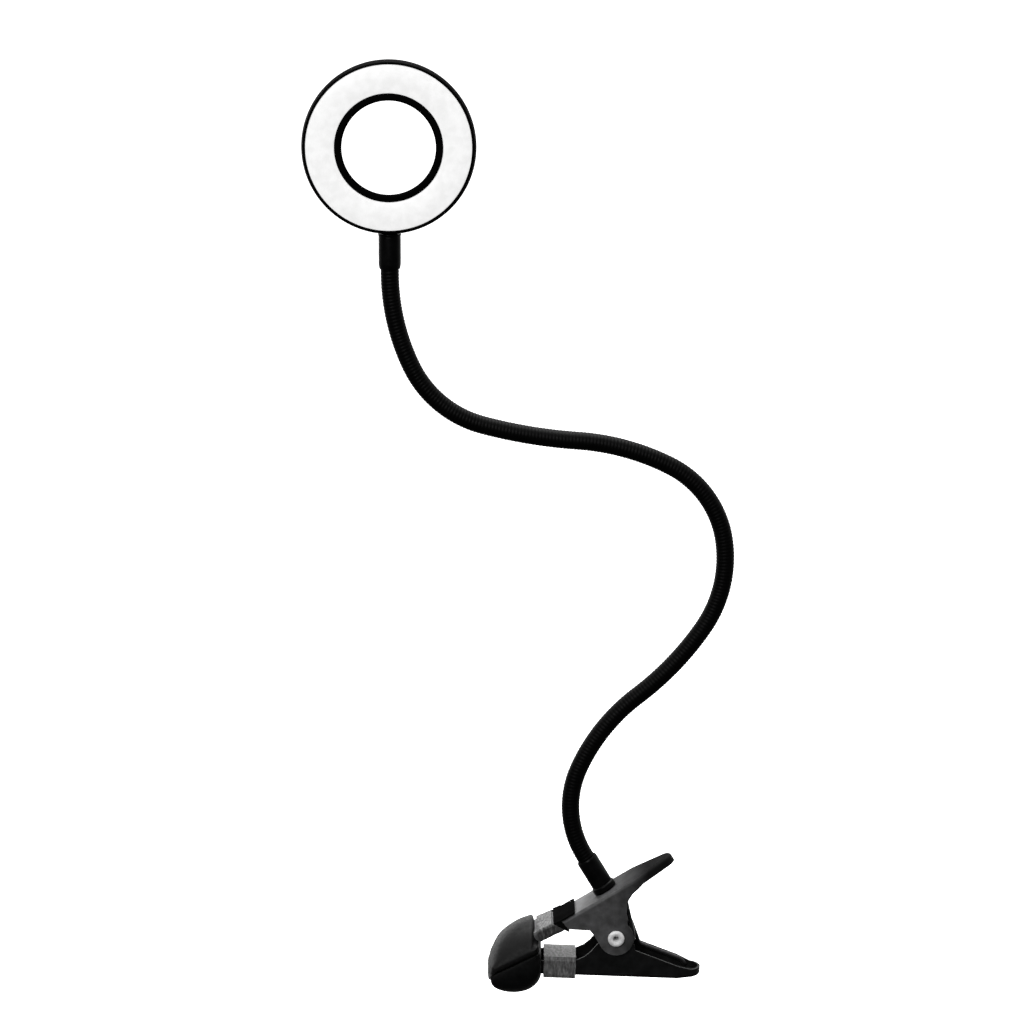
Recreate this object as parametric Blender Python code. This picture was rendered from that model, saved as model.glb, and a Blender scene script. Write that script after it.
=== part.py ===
"""Clip-on ring light: a small annular LED head on a gooseneck, held by a steel spring clamp.

Run with: blender --background --python part.py
Axes: +X from the jaws towards the clamp's handles, +Z up, the light shines along -Y.
The origin is the middle of the closed jaws. Every size below is in millimetres.
"""
from math import acos, asin, atan2, cos, degrees, hypot, pi, radians, sin

import bmesh
import bpy
from mathutils import Matrix, Vector

MM = 0.001
GAP = 0.3                      # air between two pieces that touch on the real object
SHARP_ANGLE = radians(32)

# Clamp, seen from its side
SHEET = 1.2                    # sheet steel of both levers
UPPER_HALF_WIDTH = 13.0
LOWER_HALF_WIDTH = UPPER_HALF_WIDTH - SHEET - 0.4
UPPER_SLOPE = 31.0             # degrees, the upper lever's plate rises towards its handle
UPPER_CORNER = (25.3, 21.9)    # where the plate meets the front arm, outer surface
ARM_LEVELLING = 7.0            # degrees by which the front arm is flatter than the plate
UPPER_LENGTH = 65.7            # corner to handle tip
ARM_REACH = 31.0               # corner to the arm's end inside the boot
LOWER_SLOPE = -2.1
LOWER_START = (40.0, -9.4)     # a point on the lower plate's outer surface
LOWER_LENGTH = 58.0
LOWER_REACH = 37.0
PIVOT = (53.0, 12.0)
LOBE_RADIUS = 9.4
RIVET_SHANK_RADIUS = 3.0
RIVET_BORE_RADIUS = 1.45
RIVET_HEAD_RADIUS = 4.4
RIVET_HEAD_HEIGHT = 1.7
SPRING_WIRE_RADIUS = 1.1
SPRING_RADIUS = 9.2
SPRING_HALF_WIDTH = 6.9
SPRING_FULL_TURNS = 4
UPPER_LEG_REACH = 35.0         # where the spring's upper leg presses, along the upper plate
LOWER_LEG_KNEE = (65.8, 3.2)   # the lower leg bends here towards the handle
LOWER_LEG_TIP = (88.4, -5.6)
LOWER_LEG_END = (90.6, -8.7)

# Rubber boots on the jaws
GRIP_SLOPE = 26.0              # degrees, the jaws' closed faces rise towards the pivot
BOOT_HALF_WIDTH = 20.0
BOOT_EDGE = 3.8                # height of a boot's flat side
BOOT_CROWN_POWER = 2.6
UPPER_CROWN_EDGE = 0.85        # nearly 1: the upper boot's crown meets its flat sides at a crease
LOWER_CROWN_EDGE = 0.385       # well below 1: the lower boot rounds over into its flat sides
SLEEVE_THICKNESS = 0.8

# Gooseneck
FERRULE_AT = 26.0              # along the upper plate, from its corner
BASE_STUB = 22.0               # straight length in and just above the base ferrule
LINK_LENGTH = 50.2
LINK_TURNS = (55, 28, -18, -43, -54, -23, 11, 50, 25)    # degrees each link bends, base to head
LINK_STEPS = 6                 # flats along each link's bend
STRAIGHT = 1e-6                # degrees, a link with no bend
HEAD_STUB = 17.0
NECK_RADIUS = 4.8
COVER_BORE = 3.7
CORE_RADIUS = 3.4
BALL_RADIUS = 2.4
CUP_RADIUS = 2.7
BALL_NECK_RADIUS = 1.3
LINK_END_GAP = 1.2             # a cover stops this far from its joint
BASE_FERRULE_RADIUS = 5.7
BASE_FERRULE_HEIGHT = 20.0
BASE_COLLAR_RADIUS = 6.4       # the base ferrule's foot
BASE_COLLAR_HEIGHT = 3.4
HEAD_FERRULE_RADIUS = 5.8
SPIGOT_RADIUS = 3.0
HEAD_SPIGOT_RADIUS = 2.4

# Ring head, sizes from its centre
RING_RADIUS = 45.0
HOLE_RADIUS = 24.1
HOLE_FLARE = 3.0               # by which the hole is wider at the back than at the front
SHELL_WALL = 1.6
FRONT = -9.6
BACK = 5.5
BELLY = -4.6                   # the ring is widest here and narrows towards its front and back
RIM_WIDTH = 2.3                # outer black rim seen from the front
STEM_BOSS_RADIUS = 4.6
TRIM_WIDTH = 3.9               # inner black ring seen from the front
RING_SEGMENTS = 48
RING_DROP = 49.0               # ring centre to the gooseneck's end in its ferrule
BOARD_FRONT = -5.5
BOARD_THICKNESS = 1.2
SCREW_CIRCLE = 39.6
SCREW_ANGLES = (52.5, 142.5, 232.5, 322.5)
DAYLIGHT_LEDS = 20
WARM_LEDS = 16
LED_LENGTH = 3.4
LED_WIDTH = 2.8
INLET_ANGLE = -58.0
INLET_CIRCLE = 35.0


# ---------------------------------------------------------------- scene helpers

def clear_scene():
    for old in list(bpy.data.objects):
        bpy.data.objects.remove(old, do_unlink=True)


def material(name, color, roughness, metallic=0.0):
    """One Principled BSDF material of each name."""
    found = bpy.data.materials.get(name)
    if found:
        return found
    made = bpy.data.materials.new(name)
    made.use_nodes = True
    shader = made.node_tree.nodes["Principled BSDF"]
    shader.inputs["Base Color"].default_value = (*color, 1.0)
    shader.inputs["Roughness"].default_value = roughness
    shader.inputs["Metallic"].default_value = metallic
    return made


BLACK_STEEL = ("black_steel", (0.020, 0.020, 0.021), 0.38, 0.4)
CHROME = ("chrome", (0.80, 0.80, 0.82), 0.10, 1.0)
ZINC_STEEL = ("zinc_steel", (0.52, 0.52, 0.54), 0.32, 1.0)
SPRING_STEEL = ("spring_steel", (0.30, 0.30, 0.31), 0.30, 1.0)
RUBBER = ("rubber", (0.025, 0.025, 0.026), 0.55, 0.0)
WRAP = ("wrap", (0.16, 0.16, 0.165), 0.75, 0.0)
BLACK_PLASTIC = ("black_plastic", (0.014, 0.014, 0.015), 0.35, 0.0)
OPAL_PLASTIC = ("opal_plastic", (0.93, 0.93, 0.92), 0.40, 0.0)
BOARD_WHITE = ("board_white", (0.86, 0.86, 0.84), 0.50, 0.0)
LED_DAYLIGHT = ("led_daylight", (0.88, 0.85, 0.52), 0.30, 0.0)
LED_WARM = ("led_warm", (0.90, 0.62, 0.22), 0.30, 0.0)
CHIP_BLACK = ("chip_black", (0.03, 0.03, 0.03), 0.50, 0.0)
WIRE_RED = ("wire_red", (0.55, 0.02, 0.02), 0.45, 0.0)
WIRE_BLACK = ("wire_black", (0.02, 0.02, 0.02), 0.45, 0.0)


def make_object(name, bm, look):
    """A named object from a bmesh in millimetres, faces outward, round parts smooth."""
    bmesh.ops.recalc_face_normals(bm, faces=bm.faces)
    bmesh.ops.scale(bm, vec=(MM, MM, MM), verts=bm.verts)
    mesh = bpy.data.meshes.new(name)
    bm.to_mesh(mesh)
    bm.free()
    mesh.materials.append(material(*look))
    obj = bpy.data.objects.new(name, mesh)
    bpy.context.scene.collection.objects.link(obj)
    mesh.shade_smooth()
    mesh.set_sharp_from_angle(angle=SHARP_ANGLE)
    return obj


def boolean(obj, tool, operation):
    """Applies a Boolean with the tool object, which is then removed."""
    modifier = obj.modifiers.new(operation.lower(), "BOOLEAN")
    modifier.operation = operation
    modifier.solver = "EXACT"
    modifier.object = tool
    bpy.context.view_layer.update()
    evaluated = obj.evaluated_get(bpy.context.evaluated_depsgraph_get())
    mesh = bpy.data.meshes.new_from_object(evaluated)
    obj.modifiers.clear()
    obj.data = mesh
    mesh.shade_smooth()
    mesh.set_sharp_from_angle(angle=SHARP_ANGLE)
    bpy.data.objects.remove(tool, do_unlink=True)
    return obj


def frame(name, matrix, parent=None):
    """An empty that holds one body's pieces; matrix is its world placement in millimetres."""
    empty = bpy.data.objects.new(name, None)
    bpy.context.scene.collection.objects.link(empty)
    world = matrix.copy()
    world.translation = matrix.translation * MM
    if parent is not None:
        empty.parent = parent
        world = parent.matrix_world.inverted() @ world
    empty.matrix_local = world
    bpy.context.view_layer.update()
    return empty


def adopt(parent, *objects):
    """Parents objects modelled in world space, so that their origins sit on the parent's axis."""
    for obj in objects:
        obj.data.transform(parent.matrix_world.inverted())
        obj.parent = parent


# ---------------------------------------------------------------- mesh helpers

def skin(rings, loop=False):
    """A closed skin over rings of equal point count; a ring of one point is a pole.

    loop joins the last ring to the first, as on a tube or an annulus. Otherwise an end ring
    of more than one point is closed with a flat face.
    """
    bm = bmesh.new()
    made = [[bm.verts.new(Vector(p)) for p in ring] for ring in rings]
    pairs = list(zip(made, made[1:]))
    if loop:
        pairs.append((made[-1], made[0]))
    for low, high in pairs:
        count = max(len(low), len(high))
        for i in range(count):
            j = (i + 1) % count
            if len(low) == 1:
                bm.faces.new((low[0], high[j], high[i]))
            elif len(high) == 1:
                bm.faces.new((low[i], low[j], high[0]))
            else:
                bm.faces.new((low[i], low[j], high[j], high[i]))
    if not loop:
        for end in (made[0], made[-1]):
            if len(end) > 1:
                bm.faces.new(end)
    return bm


def circle(place, radius, sides):
    """Points of a circle about a matrix's local Z axis; radius 0 gives one point."""
    if radius == 0:
        return [place @ Vector((0, 0, 0))]
    turns = [2 * pi * i / sides for i in range(sides)]
    return [place @ Vector((radius * cos(t), radius * sin(t), 0)) for t in turns]


def turned(place, profile, sides, loop=False):
    """A turned shape about a matrix's local Z axis from (height, radius) pairs."""
    rings = [circle(place @ Matrix.Translation((0, 0, h)), r, sides) for h, r in profile]
    return skin(rings, loop)


def prism(outline, point_at, low, high):
    """An outline of (a, b) pairs extruded from low to high; point_at(a, b, c) places a point."""
    rings = [[point_at(a, b, c) for a, b in outline] for c in (low, high)]
    return skin(rings)


def arc(center, radius, start, end, steps):
    """Points on an arc in its plane, angles in degrees."""
    angles = [radians(start + (end - start) * i / steps) for i in range(steps + 1)]
    return [(center[0] + radius * cos(a), center[1] + radius * sin(a)) for a in angles]


def tube(points, radius, sides):
    """A round solid wire along a list of points, with flat ends."""
    points = [Vector(p) for p in points]
    rings = []
    side = None
    for i, p in enumerate(points):
        ahead = points[min(i + 1, len(points) - 1)] - points[max(i - 1, 0)]
        ahead.normalize()
        if side is None:
            side = ahead.orthogonal().normalized()
        side = (side - ahead * side.dot(ahead)).normalized()
        other = ahead.cross(side)
        turns = [2 * pi * k / sides for k in range(sides)]
        rings.append([p + radius * (cos(t) * side + sin(t) * other) for t in turns])
    return skin(rings)


def merge(parts):
    """Several bmeshes as one, for a tool that cuts or adds in many places at once."""
    whole = bmesh.new()
    for part in parts:
        mesh = bpy.data.meshes.new("piece")
        part.to_mesh(mesh)
        part.free()
        whole.from_mesh(mesh)
        bpy.data.meshes.remove(mesh)
    return whole


def block(place, size):
    """A box centred on a matrix's origin."""
    bm = bmesh.new()
    bmesh.ops.create_cube(bm, size=1.0)
    bmesh.ops.scale(bm, vec=size, verts=bm.verts)
    bmesh.ops.transform(bm, matrix=place, verts=bm.verts)
    return bm


def nut(place, low, high, across_flats, bore):
    """A hexagon nut with a round bore that clears a spigot."""
    corner = across_flats / 2 / cos(pi / 6)
    reach = [corner if i % 2 == 0 else across_flats / 2 for i in range(12)]
    rings = []
    for height, bored in ((low, True), (low, False), (high, False), (high, True)):
        radii = [bore] * 12 if bored else reach
        turns = [pi / 6 * i for i in range(12)]
        rings.append([place @ Vector((r * cos(t), r * sin(t), height)) for r, t in zip(radii, turns)])
    return skin(rings, loop=True)


# ---------------------------------------------------------------- clamp coordinates

def plane_point(start, slope, flip):
    """A map from (along, depth, across) on a sloped plate to a world point."""
    along = Vector((cos(radians(slope)), 0, sin(radians(slope))))
    inward = Vector((sin(radians(slope)), 0, -cos(radians(slope)))) * flip
    origin = Vector((start[0], 0, start[1]))
    return lambda u, v, y: origin + along * u + inward * v + Vector((0, y, 0))


upper_point = plane_point(UPPER_CORNER, UPPER_SLOPE, 1)     # v is the depth below the upper plate
lower_point = plane_point(LOWER_START, LOWER_SLOPE, -1)     # v is the height above the lower plate


def on_plate(point_at, world):
    """The (along, depth) of a world (x, z) on a plate."""
    delta = Vector((world[0], 0, world[1])) - point_at(0, 0, 0)
    along = point_at(1, 0, 0) - point_at(0, 0, 0)
    inward = point_at(0, 1, 0) - point_at(0, 0, 0)
    return delta.dot(along), delta.dot(inward)


UPPER_PIVOT = on_plate(upper_point, PIVOT)
LOWER_PIVOT = on_plate(lower_point, PIVOT)
ARM_RISE = ARM_REACH * sin(radians(ARM_LEVELLING)) / cos(radians(ARM_LEVELLING))


def pivot_matrix(y=0.0):
    """Local Z along -Y through the pivot."""
    return Matrix.Translation((PIVOT[0], y, PIVOT[1])) @ Matrix.Rotation(pi / 2, 4, "X")


def drill(obj, place, radius, depth, sides=20):
    hole = make_object("hole", turned(place, [(-depth, radius), (depth, radius)], sides), BLACK_STEEL)
    return boolean(obj, hole, "DIFFERENCE")


def bent_tray(name, point_at, side, side_inner, plan, plan_inner, half_width):
    """A pressed channel: the side outline inside the plan outline, hollowed from within."""
    depth = (-12.0, 45.0)
    body = make_object(name, prism(side, point_at, -half_width, half_width), BLACK_STEEL)
    trim = prism(plan, lambda u, y, v: point_at(u, v, y), *depth)
    boolean(body, make_object("plan", trim, BLACK_STEEL), "INTERSECT")
    inner_width = half_width - SHEET
    hollow = make_object("hollow", prism(side_inner, point_at, -inner_width, inner_width), BLACK_STEEL)
    inner_trim = prism(plan_inner, lambda u, y, v: point_at(u, v, y), *depth)
    boolean(hollow, make_object("plan", inner_trim, BLACK_STEEL), "INTERSECT")
    return boolean(body, hollow, "DIFFERENCE")


def tongue(length, half_width, taper_start, tip_radius, front, inset=0.0):
    """A plan outline with parallel sides that taper to a rounded tip."""
    wide = half_width - inset
    tip = tip_radius - inset
    center = (length - tip_radius, 0.0)
    lean = degrees(atan2(center[0] - taper_start, wide - tip))
    half = arc(center, tip, lean, 0, 6)
    upper = [(front - inset, wide), (taper_start, wide)] + half
    lower = [(u, -y) for u, y in reversed(upper[:-1])]
    return upper + lower


# ---------------------------------------------------------------- clamp pieces

def build_upper_lever():
    """Upper lever: plate on top, a lobed flange down each side, a rolled rim round the handle."""
    u_pivot, v_pivot = UPPER_PIVOT
    lobe = arc((u_pivot, v_pivot), LOBE_RADIUS, -18, 192, 14)
    side = [(-ARM_REACH, -ARM_RISE), (0, 0), (80, 0), (80, 4.8), (46, 4.6), (38.5, 6.3), (34, 8.7)]
    side += [(30.4, 14.0)] + lobe + [(9.5, 15.5), (9.0, 11.9), (0.4, 5.9), (-1.2, 4.45)]
    side += [(-ARM_REACH, 4.6 - ARM_RISE)]
    inside = [(-ARM_REACH - 5, SHEET - ARM_RISE - 0.6), (0, SHEET), (80, SHEET), (80, 44)]
    inside += [(-ARM_REACH - 5, 44)]
    plan = tongue(UPPER_LENGTH, UPPER_HALF_WIDTH, 43.0, 6.4, -ARM_REACH)
    plan_inner = tongue(UPPER_LENGTH, UPPER_HALF_WIDTH, 43.0, 6.4, -ARM_REACH - 4, SHEET)
    lever = bent_tray("upper_lever", upper_point, side, inside, plan, plan_inner, UPPER_HALF_WIDTH)
    drill(lever, pivot_matrix(), RIVET_SHANK_RADIUS + GAP, 20)
    drill(lever, base_matrix(), SPIGOT_RADIUS + GAP, 4, 12)
    return lever


def build_lower_lever():
    """Lower lever: plate underneath, flanges up, nesting inside the upper lever at the pivot."""
    u_pivot, v_pivot = LOWER_PIVOT
    lobe = arc((u_pivot, v_pivot), LOBE_RADIUS - 0.6, 28, 196, 12)
    side = [(-LOWER_REACH, 0), (80, 0), (80, 4.4), (52.7, 4.6), (22.8, 15.0)] + lobe
    side += [(-1.0, 13.4), (-4.2, 10.6), (-9.1, 8.2), (-25.5, 7.9), (-27.0, 7.5)]
    side += [(-LOWER_REACH, 6.6)]
    inside = [(-LOWER_REACH - 5, SHEET), (80, SHEET), (80, 44), (-LOWER_REACH - 5, 44)]
    plan = tongue(LOWER_LENGTH, LOWER_HALF_WIDTH, 46.0, 9.6, -LOWER_REACH)
    plan_inner = tongue(LOWER_LENGTH, LOWER_HALF_WIDTH, 46.0, 9.6, -LOWER_REACH - 4, SHEET)
    lever = bent_tray("lower_lever", lower_point, side, inside, plan, plan_inner, LOWER_HALF_WIDTH)
    return drill(lever, pivot_matrix(), RIVET_SHANK_RADIUS + GAP, 20)


def build_rivet():
    """Tubular pivot rivet with a rolled, domed head on each side."""
    seat = UPPER_HALF_WIDTH + GAP
    top = seat + RIVET_HEAD_HEIGHT
    half = [
        (seat, RIVET_SHANK_RADIUS),
        (seat, RIVET_HEAD_RADIUS),
        (seat + 0.7, RIVET_HEAD_RADIUS),
        (top - 0.3, RIVET_HEAD_RADIUS - 0.9),
        (top, RIVET_BORE_RADIUS + 1.3),
        (top - 0.3, RIVET_BORE_RADIUS + 0.4),
        (top - 1.1, RIVET_BORE_RADIUS),
    ]
    profile = half + [(-h, r) for h, r in reversed(half)]
    return make_object("pivot_rivet", turned(pivot_matrix(), profile, 20, loop=True), CHROME)


def tangent_leg(end, side):
    """Angle on the coil where a straight leg to end leaves it; side is 1 or -1."""
    dx = end[0] - PIVOT[0]
    dz = end[1] - PIVOT[1]
    return atan2(dz, dx) + side * acos(SPRING_RADIUS / hypot(dx, dz))


def build_spring():
    """Torsion spring round the rivet; its crossed legs push the two handles apart."""
    reach = upper_point(UPPER_LEG_REACH, SHEET + SPRING_WIRE_RADIUS + GAP, 0)
    upper_end = (reach.x, reach.z)
    first = tangent_leg(LOWER_LEG_KNEE, 1)
    last = tangent_leg(upper_end, -1)
    while last < first:
        last += 2 * pi
    last += 2 * pi * SPRING_FULL_TURNS
    steps = int((last - first) / radians(30))
    lower_leg = (LOWER_LEG_END, LOWER_LEG_TIP, LOWER_LEG_KNEE)
    points = [(x, SPRING_HALF_WIDTH, z) for x, z in lower_leg]
    for i in range(steps + 1):
        share = i / steps
        angle = first + (last - first) * share
        across = SPRING_HALF_WIDTH * (1 - 2 * share)
        x = PIVOT[0] + SPRING_RADIUS * cos(angle)
        z = PIVOT[1] + SPRING_RADIUS * sin(angle)
        points.append((x, across, z))
    points.append((upper_end[0], -SPRING_HALF_WIDTH, upper_end[1]))
    return make_object("torsion_spring", tube(points, SPRING_WIRE_RADIUS, 6), SPRING_STEEL)


# The boots' outlines at mid-width, as (x, z) from the jaws' middle
UPPER_BOOT_TOP = (
    (-15.0, -5.4), (-13.9, -1.0), (-12.3, 3.2), (-10.2, 7.7), (-7.3, 11.4), (-3.0, 14.9),
    (1.0, 17.4), (5.0, 19.0), (8.8, 19.5), (10.2, 14.2),
)
LOWER_BOOT_BOTTOM = (
    (-14.2, -9.2), (-13.4, -13.2), (-11.0, -16.6), (-6.2, -19.0), (0.0, -19.8), (6.0, -18.6),
    (10.4, -15.6), (12.9, -11.4), (13.6, -6.0),
)
BOOT_ENDS = (-15.2, 13.3)


def grip_height(x):
    return x * sin(radians(GRIP_SLOPE)) / cos(radians(GRIP_SLOPE))


def build_boot(name, outline, side, crown_edge):
    """A crowned rubber cap on one jaw; side is 1 above the grip plane and -1 below."""
    middle = sum(BOOT_ENDS) / 2
    air = side * GAP / 2 / cos(radians(GRIP_SLOPE))
    rings = []
    stations = 12
    for k in range(stations + 1):
        y = -BOOT_HALF_WIDTH * cos(pi * k / stations)
        share = abs(y / BOOT_HALF_WIDTH)
        crown = max(0.0, 1 - share ** BOOT_CROWN_POWER) ** crown_edge
        narrow = 0.88 + 0.12 * crown
        ring = []
        for x, z in [(BOOT_ENDS[0], None)] + list(outline) + [(BOOT_ENDS[1], None)]:
            x = middle + (x - middle) * narrow
            face = grip_height(x) + air
            edge = face + side * BOOT_EDGE
            if z is None:
                height = face
            elif (z - edge) * side < 0:
                height = face + (z - face) * (0.5 + 0.5 * crown)
            else:
                height = edge + (z - edge) * crown
            ring.append((x, y, height))
        rings.append(ring)
    return make_object(name, skin(rings), RUBBER)


def build_boots():
    """Both boots, each with a pocket for its lever's arm."""
    reach = ARM_REACH + GAP
    rise = reach * sin(radians(ARM_LEVELLING)) / cos(radians(ARM_LEVELLING))
    pocket = [(-reach, -rise - GAP), (0, -GAP), (0, 4.9), (-reach, 4.9 - rise)]
    width = UPPER_HALF_WIDTH + GAP
    upper = build_boot("upper_jaw_boot", UPPER_BOOT_TOP, 1, UPPER_CROWN_EDGE)
    boolean(upper, make_object("pocket", prism(pocket, upper_point, -width, width), RUBBER), "DIFFERENCE")
    reach = LOWER_REACH + GAP
    pocket = [(-reach, -GAP), (-10, -GAP), (-10, 8.6), (-25.6, 8.3), (-27.2, 7.9), (-reach, 7.0)]
    width = LOWER_HALF_WIDTH + GAP
    lower = build_boot("lower_jaw_boot", LOWER_BOOT_BOTTOM, -1, LOWER_CROWN_EDGE)
    boolean(lower, make_object("pocket", prism(pocket, lower_point, -width, width), RUBBER), "DIFFERENCE")
    return upper, lower


def band(name, point_at, outer, inner, half_width, look):
    """A closed wrap round an arm: two outlines of four corners each, joined into a tube."""
    wide = half_width + GAP + SLEEVE_THICKNESS
    near = half_width + GAP
    front_out, back_out = outer
    front_in, back_in = inner

    def section(edge, reach):
        (u_top, v_top), (u_low, v_low) = edge
        corners = ((u_top, v_top, -reach), (u_top, v_top, reach), (u_low, v_low, reach),
                   (u_low, v_low, -reach))
        return [point_at(*corner) for corner in corners]

    rings = [section(front_out, wide), section(back_out, wide), section(back_in, near),
             section(front_in, near)]
    return make_object(name, skin(rings, loop=True), look)


def build_wraps():
    """The wrapped sleeves on both arms, and the black band behind the upper one."""
    thick = SLEEVE_THICKNESS
    lean = sin(radians(ARM_LEVELLING)) / cos(radians(ARM_LEVELLING))

    def upper_edge(u_top, u_low, extra):
        return ((u_top, u_top * lean - GAP - extra), (u_low, 4.6 + u_low * lean + GAP + extra))

    outer = (upper_edge(-15.3, -16.8, thick), upper_edge(-6.5, -2.2, thick))
    inner = (upper_edge(-15.3, -16.8, 0), upper_edge(-6.5, -2.2, 0))
    upper = band("upper_jaw_sleeve", upper_point, outer, inner, UPPER_HALF_WIDTH, WRAP)

    def lower_edge(u, extra):
        return ((u, 8.3 + GAP + extra), (u, -GAP - extra))

    outer = (lower_edge(-25.6, thick), lower_edge(-8.6, thick))
    inner = (lower_edge(-25.6, 0), lower_edge(-8.6, 0))
    lower = band("lower_jaw_sleeve", lower_point, outer, inner, LOWER_HALF_WIDTH, WRAP)

    def band_edge(u_top, u_low, extra):
        return ((u_top, u_top * lean - GAP - extra), (u_low, 5.3 + GAP + extra))

    outer = (band_edge(-5.6, -1.0, thick), band_edge(-1.2, -0.4, thick))
    inner = (band_edge(-5.6, -1.0, 0), band_edge(-1.2, -0.4, 0))
    strap = band("upper_arm_band", upper_point, outer, inner, UPPER_HALF_WIDTH, BLACK_PLASTIC)
    tab = [(-1.4, -GAP - thick), (7.0, -GAP - thick), (7.0, -GAP), (-1.4, -GAP)]
    patch = prism(tab, upper_point, -UPPER_HALF_WIDTH, UPPER_HALF_WIDTH)
    boolean(strap, make_object("tab", patch, BLACK_PLASTIC), "UNION")
    return upper, lower, strap


# ---------------------------------------------------------------- gooseneck

def base_matrix():
    """Local Z along the base ferrule's axis, away from the plate."""
    origin = upper_point(FERRULE_AT, 0, 0)
    return Matrix.Translation(origin) @ Matrix.Rotation(radians(-UPPER_SLOPE), 4, "Y")


def link_pose(turn, s):
    """Placement at distance s along a link that bends by turn degrees; straight past its ends."""
    inside = min(max(s, 0.0), LINK_LENGTH)
    angle = radians(turn) * inside / LINK_LENGTH
    radius = LINK_LENGTH / radians(turn)
    bend = Matrix.Translation((radius * (1 - cos(angle)), 0, radius * sin(angle)))
    bend = bend @ Matrix.Rotation(angle, 4, "Y")
    return bend @ Matrix.Translation((0, 0, s - inside))


def joint_matrices():
    """World placement of each link's start, then of the head's joint, in millimetres."""
    places = [base_matrix() @ Matrix.Translation((0, 0, BASE_STUB))]
    for turn in LINK_TURNS:
        places.append(places[-1] @ link_pose(turn, LINK_LENGTH))
    return places


def cover(name, place, turn, stations):
    """A length of the outer hose."""
    outer = [circle(place @ link_pose(turn, s), NECK_RADIUS, 12) for s in stations]
    inner = [circle(place @ link_pose(turn, s), COVER_BORE, 12) for s in reversed(stations)]
    return make_object(name, skin(outer + inner, loop=True), BLACK_STEEL)


def ball_profile():
    """(s, radius) of the ball end, from its pole to the shoulder."""
    last = pi - asin(BALL_NECK_RADIUS / BALL_RADIUS)
    angles = [last * i / 4 for i in range(5)]
    ball = [(-BALL_RADIUS * cos(a), BALL_RADIUS * sin(a)) for a in angles]
    return ball + [(3.6, BALL_NECK_RADIUS), (4.4, CORE_RADIUS)]


def cup_profile(end):
    """(s, radius) of the cup end about a joint at end, from the body to the cup's floor."""
    lip = radians(75)
    angles = [pi - (pi - lip) * i / 4 for i in range(5)]
    floor = [(end + CUP_RADIUS * cos(a), CUP_RADIUS * sin(a)) for a in reversed(angles)]
    floor[-1] = (end - CUP_RADIUS, 0)
    return [(end + CUP_RADIUS * cos(lip), CORE_RADIUS)] + floor


def core(name, place, turn, profile):
    """The inner bar of one link."""
    rings = [circle(place @ link_pose(turn, s), max(r, 0.0), 8) for s, r in profile]
    return make_object(name, skin(rings), ZINC_STEEL)


def build_neck():
    """Bodies from the base to the head: each link is a cover and a core on a ball joint."""
    places = joint_matrices()
    last = len(LINK_TURNS)
    pieces = []
    for k, turn in enumerate(LINK_TURNS, start=1):
        place = places[k - 1]
        start = [3.6 - BASE_STUB, 0.0] if k == 1 else [LINK_END_GAP]
        middle = [LINK_LENGTH * i / LINK_STEPS for i in range(1, LINK_STEPS)]
        body = [(s, CORE_RADIUS) for s in middle]
        foot = [(start[0], 0)] + [(s, CORE_RADIUS) for s in start] if k == 1 else ball_profile()
        hose = cover(f"gooseneck_cover_{k}", place, turn, start + middle + [LINK_LENGTH - LINK_END_GAP])
        bar = core(f"gooseneck_core_{k}", place, turn, foot + body + cup_profile(LINK_LENGTH))
        pieces.append((hose, bar))
    top = places[-1]
    hose = cover(f"gooseneck_cover_{last + 1}", top, STRAIGHT, [LINK_END_GAP, HEAD_STUB])
    tip = ball_profile() + [(HEAD_STUB, CORE_RADIUS), (HEAD_STUB, 0)]
    bar = core(f"gooseneck_core_{last + 1}", top, STRAIGHT, tip)
    pieces.append((hose, bar))
    return places, pieces


def build_base_fittings():
    """Base ferrule, with its threaded spigot, washer and nut under the plate."""
    place = base_matrix()
    bore = NECK_RADIUS + GAP
    profile = [
        (-6.3, 0), (-6.3, SPIGOT_RADIUS), (GAP, SPIGOT_RADIUS), (GAP, BASE_COLLAR_RADIUS),
        (BASE_COLLAR_HEIGHT, BASE_COLLAR_RADIUS), (BASE_COLLAR_HEIGHT + 0.5, BASE_FERRULE_RADIUS),
        (BASE_FERRULE_HEIGHT - 0.6, BASE_FERRULE_RADIUS), (BASE_FERRULE_HEIGHT, BASE_FERRULE_RADIUS - 0.3),
        (BASE_FERRULE_HEIGHT, bore), (3.3, bore), (3.3, 0),
    ]
    ferrule = make_object("base_ferrule", turned(place, profile, 20), BLACK_STEEL)
    hole = SPIGOT_RADIUS + GAP
    top = -SHEET - GAP
    washer = turned(place, [(top, hole), (top, 5.7), (top - 0.8, 5.7), (top - 0.8, hole)], 16, loop=True)
    washer = make_object("base_washer", washer, ZINC_STEEL)
    top -= 0.8 + GAP
    return ferrule, washer, make_object("base_nut", nut(place, top - 3.0, top, 10.0, hole), ZINC_STEEL)


# ---------------------------------------------------------------- ring head

def ring_part(name, section, look, sides=RING_SEGMENTS):
    """An annular piece from a closed (radius, y) section about the head's axis."""
    rings = []
    for radius, y in section:
        turns = [2 * pi * i / sides for i in range(sides)]
        rings.append([Vector((radius * cos(t), y, radius * sin(t))) for t in turns])
    return make_object(name, skin(rings, loop=True), look)


def head_spot(radius, angle, y):
    """A placement on the head: local Z towards the front, local X along the radius."""
    turn = radians(angle)
    spot = Vector((radius * cos(turn), y, radius * sin(turn)))
    return Matrix.Translation(spot) @ Matrix.Rotation(-turn, 4, "Y") @ Matrix.Rotation(pi / 2, 4, "X")


def stadium(width, height, steps=6):
    """An outline with round ends."""
    half = (width - height) / 2
    right = arc((half, 0), height / 2, -90, 90, steps)
    left = arc((-half, 0), height / 2, 90, 270, steps)
    return right + left


def stadium_prism(place, width, height, low, high):
    return prism(stadium(width, height), lambda a, b, c: place @ Vector((a, b, c)), low, high)


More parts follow.
